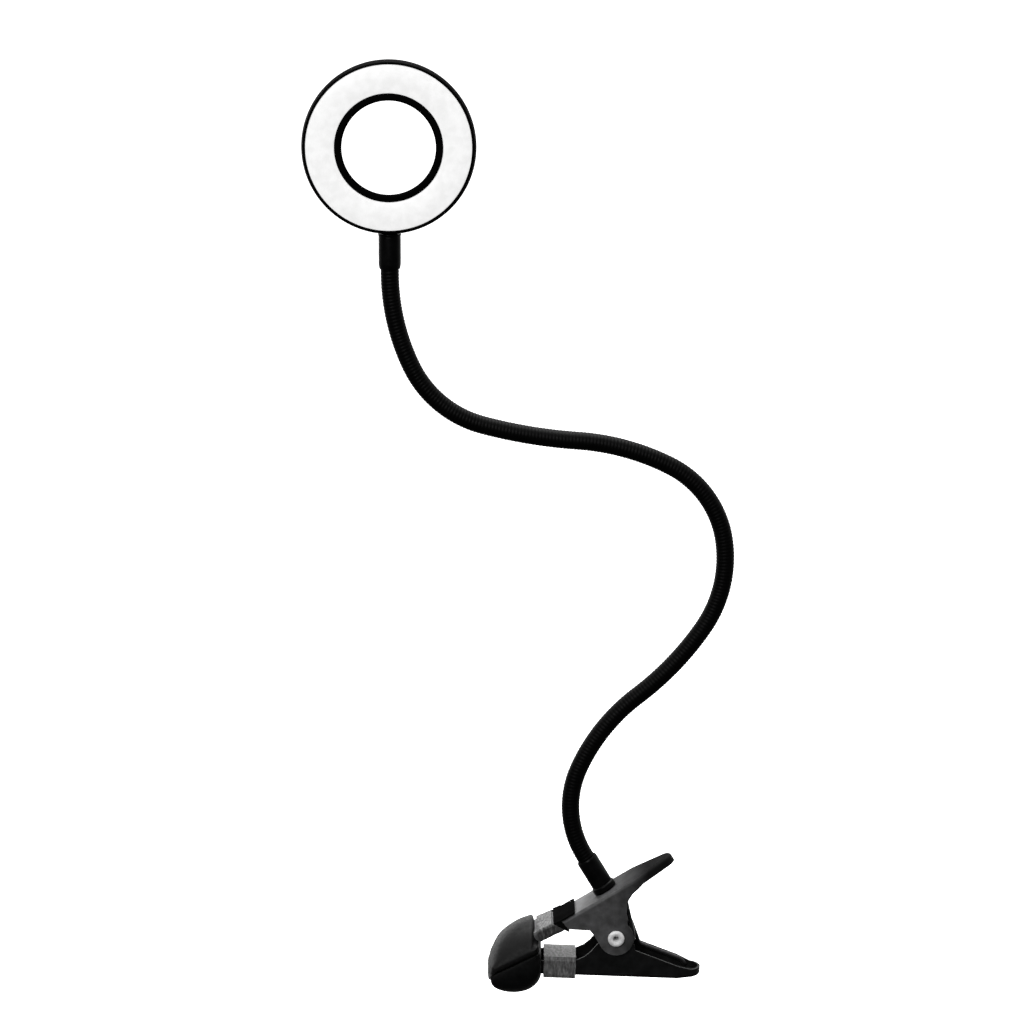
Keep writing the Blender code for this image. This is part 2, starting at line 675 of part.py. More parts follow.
def build_shell():
    """Annular tray, open to the front, with screw posts, a stem boss and an inlet slot."""
    lip = FRONT + 1.8
    floor = BACK - SHELL_WALL
    hole_back = HOLE_RADIUS + HOLE_FLARE
    section = [
        (HOLE_RADIUS, lip), (HOLE_RADIUS + 1.3, lip), (hole_back + SHELL_WALL - 0.3, floor),
        (RING_RADIUS - 3.0, floor), (RING_RADIUS - SHELL_WALL, BELLY), (RING_RADIUS - 1.5, lip),
        (RING_RADIUS - 0.5, lip), (RING_RADIUS, BELLY), (RING_RADIUS - 1.4, floor),
        (RING_RADIUS - 2.6, BACK), (hole_back + 1.2, BACK), (hole_back, BACK - 1.0),
    ]
    shell = ring_part("rear_shell", section, BLACK_PLASTIC)
    post_top = BOARD_FRONT + BOARD_THICKNESS + GAP
    length = floor + 0.8 - post_top
    spots = [head_spot(SCREW_CIRCLE, angle, floor + 0.8) for angle in SCREW_ANGLES]
    stem = Matrix.Translation((0, 0, -RING_RADIUS))
    boss = turned(stem, [(0, STEM_BOSS_RADIUS), (1.9, STEM_BOSS_RADIUS)], 16)
    posts = merge([boss] + [turned(spot, [(0, 2.2), (length, 2.0)], 10) for spot in spots])
    boolean(shell, make_object("posts", posts, BLACK_PLASTIC), "UNION")
    pilots = [turned(spot, [(1.6, 1.25), (length + 1, 1.25)], 8) for spot in spots]
    stem_radius = HEAD_SPIGOT_RADIUS + GAP
    stem_hole = turned(stem, [(-3, stem_radius), (5, stem_radius)], 12)
    spot = head_spot(INLET_CIRCLE, INLET_ANGLE, BACK)
    slot = stadium_prism(spot @ Matrix.Rotation(pi / 2, 4, "Z"), 9.8, 4.0, -2, 3)
    holes = merge(pilots + [stem_hole, slot])
    return boolean(shell, make_object("holes", holes, BLACK_PLASTIC), "DIFFERENCE")


def build_front():
    """Outer rim, inner trim and the opal diffuser between them."""
    lip = FRONT + 0.8
    seat = FRONT + 1.5
    rim_in = RING_RADIUS - RIM_WIDTH
    rim = ring_part("outer_rim", [
        (rim_in, FRONT), (RING_RADIUS - 1.3, FRONT), (RING_RADIUS - 0.8, FRONT + 0.5),
        (RING_RADIUS - 0.55, seat), (RING_RADIUS - 1.45, seat), (RING_RADIUS - 1.45, lip), (rim_in, lip),
    ], BLACK_PLASTIC)
    trim_out = HOLE_RADIUS + TRIM_WIDTH
    trim = ring_part("inner_trim", [
        (HOLE_RADIUS, seat), (HOLE_RADIUS, FRONT + 0.6), (HOLE_RADIUS + 0.6, FRONT),
        (trim_out, FRONT), (trim_out, lip), (HOLE_RADIUS + 1.3, lip), (HOLE_RADIUS + 1.3, seat),
    ], BLACK_PLASTIC)
    low = HOLE_RADIUS + 1.9
    high = RING_RADIUS - 1.8
    middle = (rim_in + trim_out) / 2
    flange = lip + GAP
    diffuser = ring_part("diffuser", [
        (low, flange + 1.2), (low, flange), (trim_out + GAP, flange), (trim_out + GAP, FRONT + 0.2),
        (middle, FRONT - 0.5), (rim_in - GAP, FRONT + 0.2), (rim_in - GAP, flange), (high, flange),
        (high, flange + 1.2), (rim_in - 1.2, flange + 1.2), (middle, flange - 0.3),
        (trim_out + 1.2, flange + 1.2),
    ], OPAL_PLASTIC)
    return rim, trim, diffuser


def led_strip(name, radius, count, look):
    """A ring strip of LEDs on the board: raised chips evenly spaced on a thin carrier."""
    foot = BOARD_FRONT - GAP
    carrier = foot - 0.3
    chip = foot - 1.0
    half_chip = degrees(LED_LENGTH / 2 / radius)
    bevel = 0.4
    stations = []
    for i in range(count):
        middle = 360 * i / count
        for offset, front in ((-half_chip - bevel, carrier), (-half_chip, chip),
                              (half_chip, chip), (half_chip + bevel, carrier)):
            stations.append((radians(middle + offset), front))
    rings = []
    for turn, front in stations:
        ring = []
        for r, y in ((radius - LED_WIDTH / 2, foot), (radius + LED_WIDTH / 2, foot),
                     (radius + LED_WIDTH / 2, front), (radius - LED_WIDTH / 2, front)):
            ring.append(Vector((r * cos(turn), y, r * sin(turn))))
        rings.append(ring)
    return make_object(name, skin(rings, loop=True), look)


def build_board():
    """LED board with its two LED strips, a resistor and its fixing screws."""
    back = BOARD_FRONT + BOARD_THICKNESS
    section = [(27.0, BOARD_FRONT), (42.4, BOARD_FRONT), (42.4, back), (27.0, back)]
    board = ring_part("led_board", section, BOARD_WHITE, 40)
    made = [board]
    spots = [head_spot(SCREW_CIRCLE, angle, BOARD_FRONT) for angle in SCREW_ANGLES]
    holes = merge([turned(spot, [(-3, 1.3), (3, 1.3)], 8) for spot in spots])
    boolean(board, make_object("holes", holes, BOARD_WHITE), "DIFFERENCE")
    for number, spot in enumerate(spots, start=1):
        profile = [(-6.2, 0), (-5.8, 0.95), (GAP, 0.95), (GAP, 1.8), (0.9, 1.8), (1.2, 1.2), (1.2, 0)]
        made.append(make_object(f"board_screw_{number}", turned(spot, profile, 8), ZINC_STEEL))
    made.append(led_strip("led_strip_daylight", 36.0, DAYLIGHT_LEDS, LED_DAYLIGHT))
    made.append(led_strip("led_strip_warm", 30.6, WARM_LEDS, LED_WARM))
    spot = head_spot(33.3, -90, BOARD_FRONT - GAP - 0.25)
    made.append(make_object("current_resistor", block(spot, (1.2, 2.0, 0.5)), CHIP_BLACK))
    return made


def build_inlet():
    """Power socket in the back, on its own small board, and the two wires to the LED board."""
    spot = head_spot(INLET_CIRCLE, INLET_ANGLE, BACK) @ Matrix.Rotation(pi / 2, 4, "Z")
    sleeve = make_object("inlet_shell", stadium_prism(spot, 9.0, 3.3, -0.0, 5.6), ZINC_STEEL)
    bore = make_object("bore", stadium_prism(spot, 8.3, 2.6, -1.0, 5.0), ZINC_STEEL)
    boolean(sleeve, bore, "DIFFERENCE")
    tongue_block = block(spot @ Matrix.Translation((0, 0, 2.8)), (6.6, 0.8, 3.6))
    insert = make_object("inlet_tongue", tongue_block, CHIP_BLACK)
    card = make_object("inlet_board", block(spot @ Matrix.Translation((0, 0, 6.5)), (13.0, 8.0, 1.0)),
                       BOARD_WHITE)
    chip = make_object("driver_chip", block(spot @ Matrix.Translation((3.2, 0.6, 7.7)), (3.9, 4.9, 0.8)),
                       CHIP_BLACK)
    made = [sleeve, insert, card, chip]
    depth = BOARD_FRONT + BOARD_THICKNESS + 1.6
    for name, look, offset in (("supply_wire_red", WIRE_RED, 0.0), ("supply_wire_black", WIRE_BLACK, 1.9)):
        points = []
        for i in range(9):
            share = i / 8
            angle = INLET_ANGLE - 13 - 34 * share
            radius = 33.0 + offset + 1.2 * sin(pi * share)
            sag = depth + 0.9 * sin(pi * share)
            turn = radians(angle)
            points.append(Vector((radius * cos(turn), sag, radius * sin(turn))))
        made.append(make_object(name, tube(points, 0.6, 6), look))
    return made


def build_stem():
    """Head ferrule with its spigot through the shell wall, and the nut inside."""
    place = Matrix.Identity(4)
    bore = NECK_RADIUS + GAP
    mouth = -63.6
    profile = [
        (-38.2, 0), (-38.2, HEAD_SPIGOT_RADIUS), (-RING_RADIUS - GAP, HEAD_SPIGOT_RADIUS),
        (-RING_RADIUS - GAP, HEAD_FERRULE_RADIUS + 0.2), (-46.2, HEAD_FERRULE_RADIUS),
        (-61.2, HEAD_FERRULE_RADIUS), (mouth, bore + 0.25), (mouth, bore),
        (-RING_DROP + GAP, bore), (-RING_DROP + GAP, 0),
    ]
    ferrule = make_object("head_ferrule", turned(place, profile, 20), BLACK_STEEL)
    stem_nut = nut(place, -41.5, -38.9, 7.0, HEAD_SPIGOT_RADIUS + GAP)
    return ferrule, make_object("stem_nut", stem_nut, ZINC_STEEL)


# ---------------------------------------------------------------- assembly

def build():
    clear_scene()
    root = frame("clamp_frame", Matrix.Identity(4))
    upper_boot, lower_boot = build_boots()
    upper_sleeve, lower_sleeve, strap = build_wraps()
    adopt(root, build_upper_lever(), build_rivet(), build_spring(), upper_boot, upper_sleeve, strap)
    adopt(root, *build_base_fittings())
    pivot = frame("pivot_axis", Matrix.Translation((PIVOT[0], 0, PIVOT[1])), root)
    adopt(pivot, build_lower_lever(), lower_boot, lower_sleeve)
    places, pieces = build_neck()
    adopt(root, *pieces[0])
    holder = root
    for k, (place, pair) in enumerate(zip(places[1:], pieces[1:]), start=1):
        holder = frame(f"neck_axis_{k}", place, holder)
        adopt(holder, *pair)
    center = places[-1] @ Matrix.Translation((0, 0, HEAD_STUB + RING_DROP))
    center.translation *= MM
    head = [build_shell(), *build_front(), *build_board(), *build_inlet(), *build_stem()]
    for obj in head:
        obj.data.transform(center)
    adopt(holder, *head)


build()
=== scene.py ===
from math import acos, atan2, cos, hypot, pi, radians, sin, sqrt, tan

import bmesh
import bpy
from mathutils import Matrix, Vector, noise


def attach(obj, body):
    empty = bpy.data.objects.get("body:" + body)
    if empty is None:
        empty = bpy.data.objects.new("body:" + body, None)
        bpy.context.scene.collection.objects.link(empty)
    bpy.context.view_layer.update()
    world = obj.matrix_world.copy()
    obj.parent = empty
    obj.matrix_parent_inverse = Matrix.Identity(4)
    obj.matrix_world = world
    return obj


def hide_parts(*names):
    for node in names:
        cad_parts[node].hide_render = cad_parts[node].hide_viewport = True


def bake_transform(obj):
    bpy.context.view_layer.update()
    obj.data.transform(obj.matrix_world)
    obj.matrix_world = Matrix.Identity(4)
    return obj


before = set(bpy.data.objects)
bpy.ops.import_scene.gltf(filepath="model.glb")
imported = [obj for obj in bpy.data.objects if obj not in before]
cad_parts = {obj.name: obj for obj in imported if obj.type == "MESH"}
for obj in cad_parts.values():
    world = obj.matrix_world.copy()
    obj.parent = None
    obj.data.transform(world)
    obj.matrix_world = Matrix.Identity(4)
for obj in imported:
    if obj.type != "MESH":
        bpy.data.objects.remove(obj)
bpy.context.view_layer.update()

MM = 0.001

# The part's own sizes
GAP = 0.3                     # air between parts that touch on the real lamp
SHEET = 1.2                   # the levers' steel
UPPER_HALF_WIDTH = 13.0
LOWER_HALF_WIDTH = 11.4
UPPER_SLOPE = 31.0
UPPER_CORNER = (25.3, 21.9)   # where the upper plate meets its front arm
ARM_LEVELLING = 7.0           # degrees by which that arm is flatter than the plate
LOWER_SLOPE = -2.1
LOWER_START = (40.0, -9.4)    # a point on the lower plate's outer surface
PIVOT = (53.0, 12.0)
FERRULE_AT = 26.0             # from the upper corner along the plate
BASE_STUB = 22.0
LINK_LENGTH = 50.2
LINK_TURNS = (55, 28, -18, -43, -54, -23, 11, 50, 25, 1e-6)   # degrees, base to head
HEAD_STUB = 17.0
NECK_RADIUS = 4.8
RING_DROP = 49.0              # from the hose's end to the ring's middle
RING_RADIUS = 45.0
HOLE_RADIUS = 24.1
HOLE_FLARE = 3.0              # how much wider the hole is at the back
FRONT = -9.6
BACK = 5.5
BELLY = -4.6                  # where the shell is widest
RIM_WIDTH = 2.3
TRIM_WIDTH = 3.9
INLET_ANGLE = -58.0
INLET_CIRCLE = 35.0
WELL_CIRCLE = 30.2            # the screw wells in the shell's back
WELL_ANGLES = (97.5, 187.5, 277.5, 367.5)
GRIP_SLOPE = 26.0
BOOT_HALF_WIDTH = 20.0
BOOT_ENDS = (-15.2, 13.3)
BOOT_EDGE = 3.8
CROWN_POWER = 2.6
UPPER_CROWN_EDGE = 0.9
LOWER_CROWN_EDGE = 0.385      # well below 1: rounds over into the boot's flat sides
WRAP_THICKNESS = 0.8
ARM_HEIGHT = 4.6
EYELET_SIDES = 64
FERRULE_SIDES = 64
SPRING_RADIUS = 9.2
SPRING_HALF_WIDTH = 6.9
SPRING_WIRE_RADIUS = 1.1
SPRING_TURNS = 4
UPPER_ARM_REACH = 31.3
LOWER_ARM_REACH = 37.3
LOWER_ARM_HEIGHT = 8.3
UPPER_WRAP_ENDS = (-15.3, -6.55)   # along the arm, from the upper corner
LOWER_WRAP_ENDS = (-25.6, -8.6)    # along the arm, from LOWER_START


# ---------------------------------------------------------------- materials

class Look:
    """A Principled material with helpers for procedural detail in the object's own metres."""

    def __init__(self, name, color, roughness, metallic=0.0, specular=0.5):
        self.material = bpy.data.materials.new(name)
        self.material.use_nodes = True
        self.tree = self.material.node_tree
        self.shader = self.tree.nodes["Principled BSDF"]
        self.set("Base Color", (*color, 1.0))
        self.set("Roughness", roughness)
        self.set("Metallic", metallic)
        self.set("Specular IOR Level", specular)
        self.coords = self.tree.nodes.new("ShaderNodeTexCoord").outputs["Object"]
        self.normal = None

    def set(self, socket, value):
        self.shader.inputs[socket].default_value = value

    def node(self, kind, **settings):
        made = self.tree.nodes.new(kind)
        for key, value in settings.items():
            setattr(made, key, value)
        return made

    def link(self, source, target):
        self.tree.links.new(source, target)

    def stretched(self, scale, turn=0.0):
        """Object coordinates turned about Y and scaled per axis."""
        mapping = self.node("ShaderNodeMapping")
        mapping.inputs["Scale"].default_value = scale
        mapping.inputs["Rotation"].default_value = (0, turn, 0)
        self.link(self.coords, mapping.inputs["Vector"])
        return mapping.outputs["Vector"]

    def noise(self, size, detail=3.0, vector=None, roughness=0.55):
        """Noise whose features are about size millimetres across."""
        made = self.node("ShaderNodeTexNoise")
        made.inputs["Scale"].default_value = 1 / (size * MM)
        made.inputs["Detail"].default_value = detail
        made.inputs["Roughness"].default_value = roughness
        self.link(vector or self.coords, made.inputs["Vector"])
        return made.outputs["Fac"]

    def cells(self, size, feature="F1", vector=None):
        made = self.node("ShaderNodeTexVoronoi", feature=feature)
        made.inputs["Scale"].default_value = 1 / (size * MM)
        self.link(vector or self.coords, made.inputs["Vector"])
        return made.outputs["Distance"]

    def spread(self, source, low, high, to_low, to_high):
        made = self.node("ShaderNodeMapRange")
        limits = {"From Min": low, "From Max": high, "To Min": to_low, "To Max": to_high}
        for socket, value in limits.items():
            made.inputs[socket].default_value = value
        self.link(source, made.inputs["Value"])
        return made.outputs["Result"]

    def colors(self, source, stops):
        """Colour along (position, colour) stops."""
        made = self.node("ShaderNodeValToRGB")
        ramp = made.color_ramp
        while len(ramp.elements) < len(stops):
            ramp.elements.new(0.5)
        for element, (position, color) in zip(ramp.elements, stops):
            element.position = position
            element.color = (*color, 1.0)
        self.link(source, made.inputs["Fac"])
        return made.outputs["Color"]

    def paint(self, source, stops):
        self.link(self.colors(source, stops), self.shader.inputs["Base Color"])
        return self

    def gloss(self, source, low, high, to_low, to_high):
        self.link(self.spread(source, low, high, to_low, to_high), self.shader.inputs["Roughness"])
        return self

    def along_x(self, start, end, to_low, to_high):
        """A value that changes as the object's own X runs from start to end, in metres."""
        parts = self.node("ShaderNodeSeparateXYZ")
        self.link(self.coords, parts.inputs["Vector"])
        return self.spread(parts.outputs["X"], start, end, to_low, to_high)

    def dulled(self, start, end, extra):
        """Roughness that grows by extra as X runs from start to end."""
        before = self.shader.inputs["Roughness"].links[0].from_socket
        total = self.node("ShaderNodeMath", operation="ADD", use_clamp=True)
        self.link(before, total.inputs[0])
        self.link(self.along_x(start, end, 0.0, extra), total.inputs[1])
        self.link(total.outputs["Value"], self.shader.inputs["Roughness"])
        return self

    def darkened(self, start, end, left):
        """Painted shade: colour that falls to the share left as X runs from start to end."""
        before = self.shader.inputs["Base Color"].links[0].from_socket
        scaled = self.node("ShaderNodeVectorMath", operation="SCALE")
        self.link(before, scaled.inputs["Vector"])
        self.link(self.along_x(start, end, 1.0, left), scaled.inputs["Scale"])
        self.link(scaled.outputs["Vector"], self.shader.inputs["Base Color"])
        return self

    def bump(self, height, strength, depth):
        """Adds relief of depth millimetres on top of what is there."""
        made = self.node("ShaderNodeBump")
        made.inputs["Strength"].default_value = strength
        made.inputs["Distance"].default_value = depth * MM
        self.link(height, made.inputs["Height"])
        if self.normal is not None:
            self.link(self.normal, made.inputs["Normal"])
        self.normal = made.outputs["Normal"]
        self.link(self.normal, self.shader.inputs["Normal"])
        return self


def grey(value, tint=1.0):
    return (value, value, value * tint)


def enamel(name, value, roughness, specular):
    """Baked black enamel: orange peel, dust nibs and faint handling marks."""
    look = Look(name, grey(value), roughness, specular=specular)
    look.paint(look.noise(6.0, 5.0), [(0.35, grey(value * 0.75)), (0.7, grey(value * 1.5, 1.03))])
    look.gloss(look.noise(3.0, 6.0), 0.3, 0.7, roughness - 0.07, roughness + 0.09)
    look.bump(look.noise(0.9, 2.0), 0.25, 0.03)
    look.bump(look.noise(0.18, 1.0), 0.12, 0.012)
    return look


def worn_enamel(name, value, specular):
    """Thin paint on sheared and bent edges, where steel starts to show."""
    look = Look(name, grey(value), 0.4, specular=specular)
    look.paint(look.noise(0.8, 6.0, roughness=0.7),
               [(0.42, grey(value * 0.6)), (0.68, grey(value * 2.0, 1.02))])
    look.gloss(look.noise(0.5, 4.0), 0.3, 0.7, 0.35, 0.55)
    look.bump(look.noise(0.35, 3.0), 0.25, 0.02)
    return look


def plate(name, color, roughness, grain, metallic=1.0):
    """Plated or bare metal with fine drawn grain and slight staining."""
    look = Look(name, color, roughness, metallic=metallic)
    darker = tuple(c * 0.72 for c in color)
    look.paint(look.noise(1.6, 5.0), [(0.3, darker), (0.6, color)])
    look.gloss(look.noise(0.7, 4.0), 0.3, 0.7, roughness - 0.05, roughness + 0.12)
    look.bump(look.noise(0.12, 2.0, look.stretched((1.0, grain, 1.0))), 0.2, 0.01)
    return look


def moulded(name, color, roughness, specular=0.5, grain=0.22, relief=0.02):
    """Moulded plastic or rubber with a fine spark-eroded grain."""
    look = Look(name, color, roughness, specular=specular)
    low = tuple(c * 0.8 for c in color)
    high = tuple(min(1.0, c * 1.25) for c in color)
    look.paint(look.noise(9.0, 4.0), [(0.35, low), (0.68, high)])
    look.gloss(look.noise(2.2, 5.0), 0.3, 0.7, roughness - 0.05, roughness + 0.08)
    look.bump(look.cells(grain, "SMOOTH_F1"), 0.3, relief)
    look.bump(look.noise(4.5, 2.0), 0.12, 0.05)
    return look


def rubber_look():
    """Satin vinyl rubber: pebbled skin, a bloom of dust and faint flow marks."""
    look = Look("boot_rubber", grey(0.005), 0.5, specular=0.16)
    bloom = look.noise(5.0, 6.0, roughness=0.65)
    look.paint(bloom, [(0.3, grey(0.0012)), (0.58, grey(0.003, 1.02)), (0.8, grey(0.009, 1.03))])
    look.gloss(look.noise(1.7, 4.0), 0.3, 0.7, 0.42, 0.62)
    look.bump(look.cells(0.55, "SMOOTH_F1"), 0.28, 0.06)
    look.bump(look.noise(0.2, 2.0), 0.3, 0.03)
    return look


def wrap_look(name, dark, light, turn):
    """Grey shrink film: streaks across the arm, fine crinkles and pale scuffed crests."""
    look = Look(name, grey(dark), 0.45, specular=0.4)
    streaks = look.noise(1.1, 5.0, look.stretched((1.0, 0.3, 0.26), turn), 0.62)
    look.paint(streaks, [(0.3, grey(dark * 0.4)), (0.48, grey(dark)), (0.6, grey(light)),
                         (0.74, grey(light * 1.5, 1.02))])
    look.gloss(look.noise(0.8, 4.0), 0.3, 0.7, 0.3, 0.62)
    look.bump(look.noise(0.9, 5.0, look.stretched((1.0, 0.45, 0.4), turn)), 0.7, 0.22)
    look.bump(look.noise(0.25, 3.0), 0.3, 0.05)
    return look


def opal_look():
    """Opal diffuser with faint mottling, lit evenly from behind."""
    look = Look("opal", grey(0.9), 0.38, specular=0.4)
    mottle = look.noise(4.5, 5.0, roughness=0.65)
    look.paint(mottle, [(0.3, grey(0.42, 0.995)), (0.55, grey(0.45)), (0.75, grey(0.47, 1.0))])
    look.gloss(look.noise(2.0, 3.0), 0.3, 0.7, 0.3, 0.45)
    look.bump(look.noise(0.3, 2.0), 0.15, 0.015)
    look.link(look.colors(mottle, [(0.4, grey(0.92, 0.998)), (0.6, grey(1.0, 1.0))]),
              look.shader.inputs["Emission Color"])
    look.set("Emission Strength", 0.685)
    return look


def phosphor(name, color):
    look = Look(name, color, 0.3, specular=0.5)
    look.paint(look.cells(0.6), [(0.1, color), (0.8, tuple(c * 0.75 for c in color))])
    look.bump(look.noise(0.2, 2.0), 0.2, 0.02)
    return look


LOOKS = {
    # Painted shade: the black enamel darkens to near black along the upper handle, past the pivot.
    "enamel": enamel("black_enamel", 0.075, 0.36, 0.12)
    .dulled(0.05, 0.07, 0.4).darkened(0.052, 0.07, 0.05),
    # Painted reflection: the upper plate's top is a lighter copy of the black enamel; its colour falls
    # away towards the handle as painted shade.
    "enamel_top_painted_reflection": enamel("plate_enamel_painted_reflection", 0.19, 0.38, 0.03)
    .dulled(0.036, 0.07, 0.4).darkened(0.012, 0.068, 0.02),
    # Painted shade: the lower lever and its edges are darker copies of the enamel and edge looks,
    # standing in for the shade the lever lies in.
    "enamel_low": enamel("lower_enamel_painted_shade", 0.008, 0.42, 0.04),
    "edge": worn_enamel("enamel_edge", 0.025, 0.12),
    "edge_low": worn_enamel("lower_edge_painted_shade", 0.003, 0.0),
    "hose": moulded("hose_black", grey(0.0015), 0.44, specular=0.06, grain=0.3, relief=0.02),
    "ferrule": enamel("ferrule_black", 0.002, 0.36, 0.08),
    # Painted reflection: the chrome eyelet is a flat white non-metal colour standing in for its bright
    # reflection.
    "chrome": plate("eyelet_chrome_painted_reflection", (1.0, 1.0, 1.0), 0.35, 0.6, metallic=0.0),
    "zinc": plate("zinc", (0.60, 0.61, 0.63), 0.32, 0.25),
    "spring": plate("spring_wire", (0.05, 0.05, 0.052), 0.3, 0.3, metallic=0.8),
    "rubber": rubber_look(),
    # Painted light and shade: both wraps are the same film; the lower one gets a lighter tone and the
    # upper one a darker tone for how light falls on each arm.
    "wrap_low_painted_light": wrap_look("wrap_low_painted_light", 0.105, 0.17, 0.0),
    "wrap_up_painted_shade": wrap_look("wrap_up_painted_shade", 0.04, 0.1, radians(-25)),
    "plastic": moulded("black_abs", grey(0.0012), 0.42, specular=0.015),
    "band": moulded("band_black", grey(0.004), 0.65, specular=0.0, grain=0.4, relief=0.04),
    "opal": opal_look(),
    "mask": moulded("solder_mask", (0.86, 0.86, 0.84), 0.45, grain=0.4, relief=0.01),
    "daylight": phosphor("phosphor_daylight", (0.9, 0.86, 0.5)),
    "warm": phosphor("phosphor_warm", (0.92, 0.6, 0.2)),
    "epoxy": moulded("epoxy_black", grey(0.03), 0.5, grain=0.15),
    "red": moulded("pvc_red", (0.5, 0.02, 0.02), 0.4),
    "black_wire": moulded("pvc_black", grey(0.015), 0.4),
}


# ---------------------------------------------------------------- mesh helpers

def skin(rings, loop=False):
    """A skin over rings of equal point count; loop joins the last ring to the first."""
    bm = bmesh.new()
    made = [[bm.verts.new(Vector(p)) for p in ring] for ring in rings]
    pairs = list(zip(made, made[1:]))
    if loop:
        pairs.append((made[-1], made[0]))
    for low, high in pairs:
        count = len(low)
        for i in range(count):
            j = (i + 1) % count
            bm.faces.new((low[i], low[j], high[j], high[i]))
    if not loop:
        bm.faces.new(made[0])
        bm.faces.new(made[-1])
    return bm


def cad_bmesh(node):
    """A CAD node's shape in millimetres, its flat faces merged."""
    bm = bmesh.new()
    bm.from_mesh(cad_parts[node].data)
    bmesh.ops.remove_doubles(bm, verts=bm.verts, dist=2e-6)
    bmesh.ops.scale(bm, vec=(1 / MM,) * 3, verts=bm.verts)
    bmesh.ops.dissolve_limit(bm, angle_limit=radians(0.8), verts=bm.verts, edges=bm.edges)
    return bm


def finished(name, bm, look, body, replaces=(), sharp=38.0, edge_look=None):
    """A piece from a bmesh in millimetres, riding on a body and standing for CAD nodes."""
    bmesh.ops.recalc_face_normals(bm, faces=bm.faces)
    bmesh.ops.scale(bm, vec=(MM, MM, MM), verts=bm.verts)
    mesh = bpy.data.meshes.new(name)
    bm.to_mesh(mesh)
    bm.free()
    mesh.materials.append(LOOKS[look].material)
    if edge_look:
        mesh.materials.append(LOOKS[edge_look].material)
    mesh.shade_smooth()
    mesh.set_sharp_from_angle(angle=radians(sharp))
    piece = bpy.data.objects.new(name, mesh)
    bpy.context.scene.collection.objects.link(piece)
    if body:
        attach(piece, body)
    if replaces:
        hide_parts(*replaces)
    return piece


def applied(piece):
    """Bakes the modifiers into the mesh."""
    bpy.context.view_layer.update()
    shown = piece.evaluated_get(bpy.context.evaluated_depsgraph_get())
    mesh = bpy.data.meshes.new_from_object(shown)
    piece.modifiers.clear()
    piece.data = mesh
    return piece


def cut(piece, bm, operation="DIFFERENCE"):
    """Applies a Boolean with a tool given as a bmesh in millimetres."""
    bmesh.ops.recalc_face_normals(bm, faces=bm.faces)
    bmesh.ops.scale(bm, vec=(MM, MM, MM), verts=bm.verts)
    mesh = bpy.data.meshes.new("tool")
    bm.to_mesh(mesh)
    bm.free()
    tool = bpy.data.objects.new("tool", mesh)
    bpy.context.scene.collection.objects.link(tool)
    modifier = piece.modifiers.new("cut", "BOOLEAN")
    modifier.operation = operation
    modifier.solver = "EXACT"
    modifier.object = tool
    applied(piece)
    bpy.data.objects.remove(tool, do_unlink=True)
    return piece


def soften(piece, width, segments=2, angle=30.0, edge_look=True):
    """Rounds every edge sharper than angle by width millimetres."""
    modifier = piece.modifiers.new("soften", "BEVEL")
    modifier.width = width * MM
    modifier.segments = segments
    modifier.limit_method = "ANGLE"
    modifier.angle_limit = radians(angle)
    modifier.use_clamp_overlap = True
    modifier.miter_outer = "MITER_ARC"
    if edge_look:
        modifier.material = 1
    weighted = piece.modifiers.new("weighted", "WEIGHTED_NORMAL")
    weighted.keep_sharp = True
    weighted.weight = 80
    return applied(piece)


def fillet(points, reach, steps=4, closed=True):
    """A polyline with its corners rounded, reach millimetres each way along both sides."""
    out = []
    count = len(points)
    for i, point in enumerate(points):
        here = Vector(point)
        if not closed and i in (0, count - 1):
            out.append(tuple(here))
            continue
        back = Vector(points[i - 1]) - here
        ahead = Vector(points[(i + 1) % count]) - here
        size = min(reach, 0.42 * back.length, 0.42 * ahead.length)
        start = here + back.normalized() * size
        end = here + ahead.normalized() * size
        for k in range(steps + 1):
            t = k / steps
            out.append(tuple(start * (1 - t) ** 2 + here * 2 * t * (1 - t) + end * t ** 2))
    return out


def circle(place, radius, sides):
    return [place @ Vector((radius * cos(2 * pi * i / sides), radius * sin(2 * pi * i / sides), 0))
            for i in range(sides)]


def turned(place, profile, sides):
    """A turned piece about a matrix's local Z axis from a closed (height, radius) section."""
    return skin([circle(place @ Matrix.Translation((0, 0, h)), max(r, 0.01), sides) for h, r in profile],
                loop=True)


def prism(outline, point_at, low, high):
    return skin([[point_at(a, b, c) for a, b in outline] for c in (low, high)])


def arc(center, radius, start, end, steps):
    angles = [radians(start + (end - start) * i / steps) for i in range(steps + 1)]
    return [(center[0] + radius * cos(a), center[1] + radius * sin(a)) for a in angles]


def wire(points, radius, sides):
    """Rings of a round wire along points, tapered to nearly nothing just past each end."""
    points = [Vector(p) for p in points]
    rings = []
    side = None
    last = len(points) - 1
    for i, p in enumerate(points):
        ahead = (points[min(i + 1, last)] - points[max(i - 1, 0)]).normalized()
        if side is None:
            side = ahead.orthogonal().normalized()
        side = (side - ahead * side.dot(ahead)).normalized()
        other = ahead.cross(side)
        turns = [2 * pi * k / sides for k in range(sides)]
        ring = [(cos(t) * side + sin(t) * other) for t in turns]
        if i == 0:
            rings.append([p + radius * 0.75 * r for r in ring])
            p = p + ahead * radius * 0.25
        if i == last:
            rings.append([p - ahead * radius * 0.25 + radius * r for r in ring])
            rings.append([p + radius * 0.75 * r for r in ring])
        else:
            rings.append([p + radius * r for r in ring])
    return skin(rings)


def smooth_path(points, steps):
    """Catmull-Rom points through a polyline, ends included."""
    points = [Vector(p) for p in points]
    out = []
    last = len(points) - 1
    for i in range(last):
        before = points[max(i - 1, 0)]
        a = points[i]
        b = points[i + 1]
        after = points[min(i + 2, last)]
        for k in range(steps):
            t = k / steps
            out.append(0.5 * (2 * a + (b - before) * t + (2 * before - 5 * a + 4 * b - after) * t ** 2
                              + (3 * a - before - 3 * b + after) * t ** 3))
    out.append(points[-1])
    return [tuple(p) for p in out]


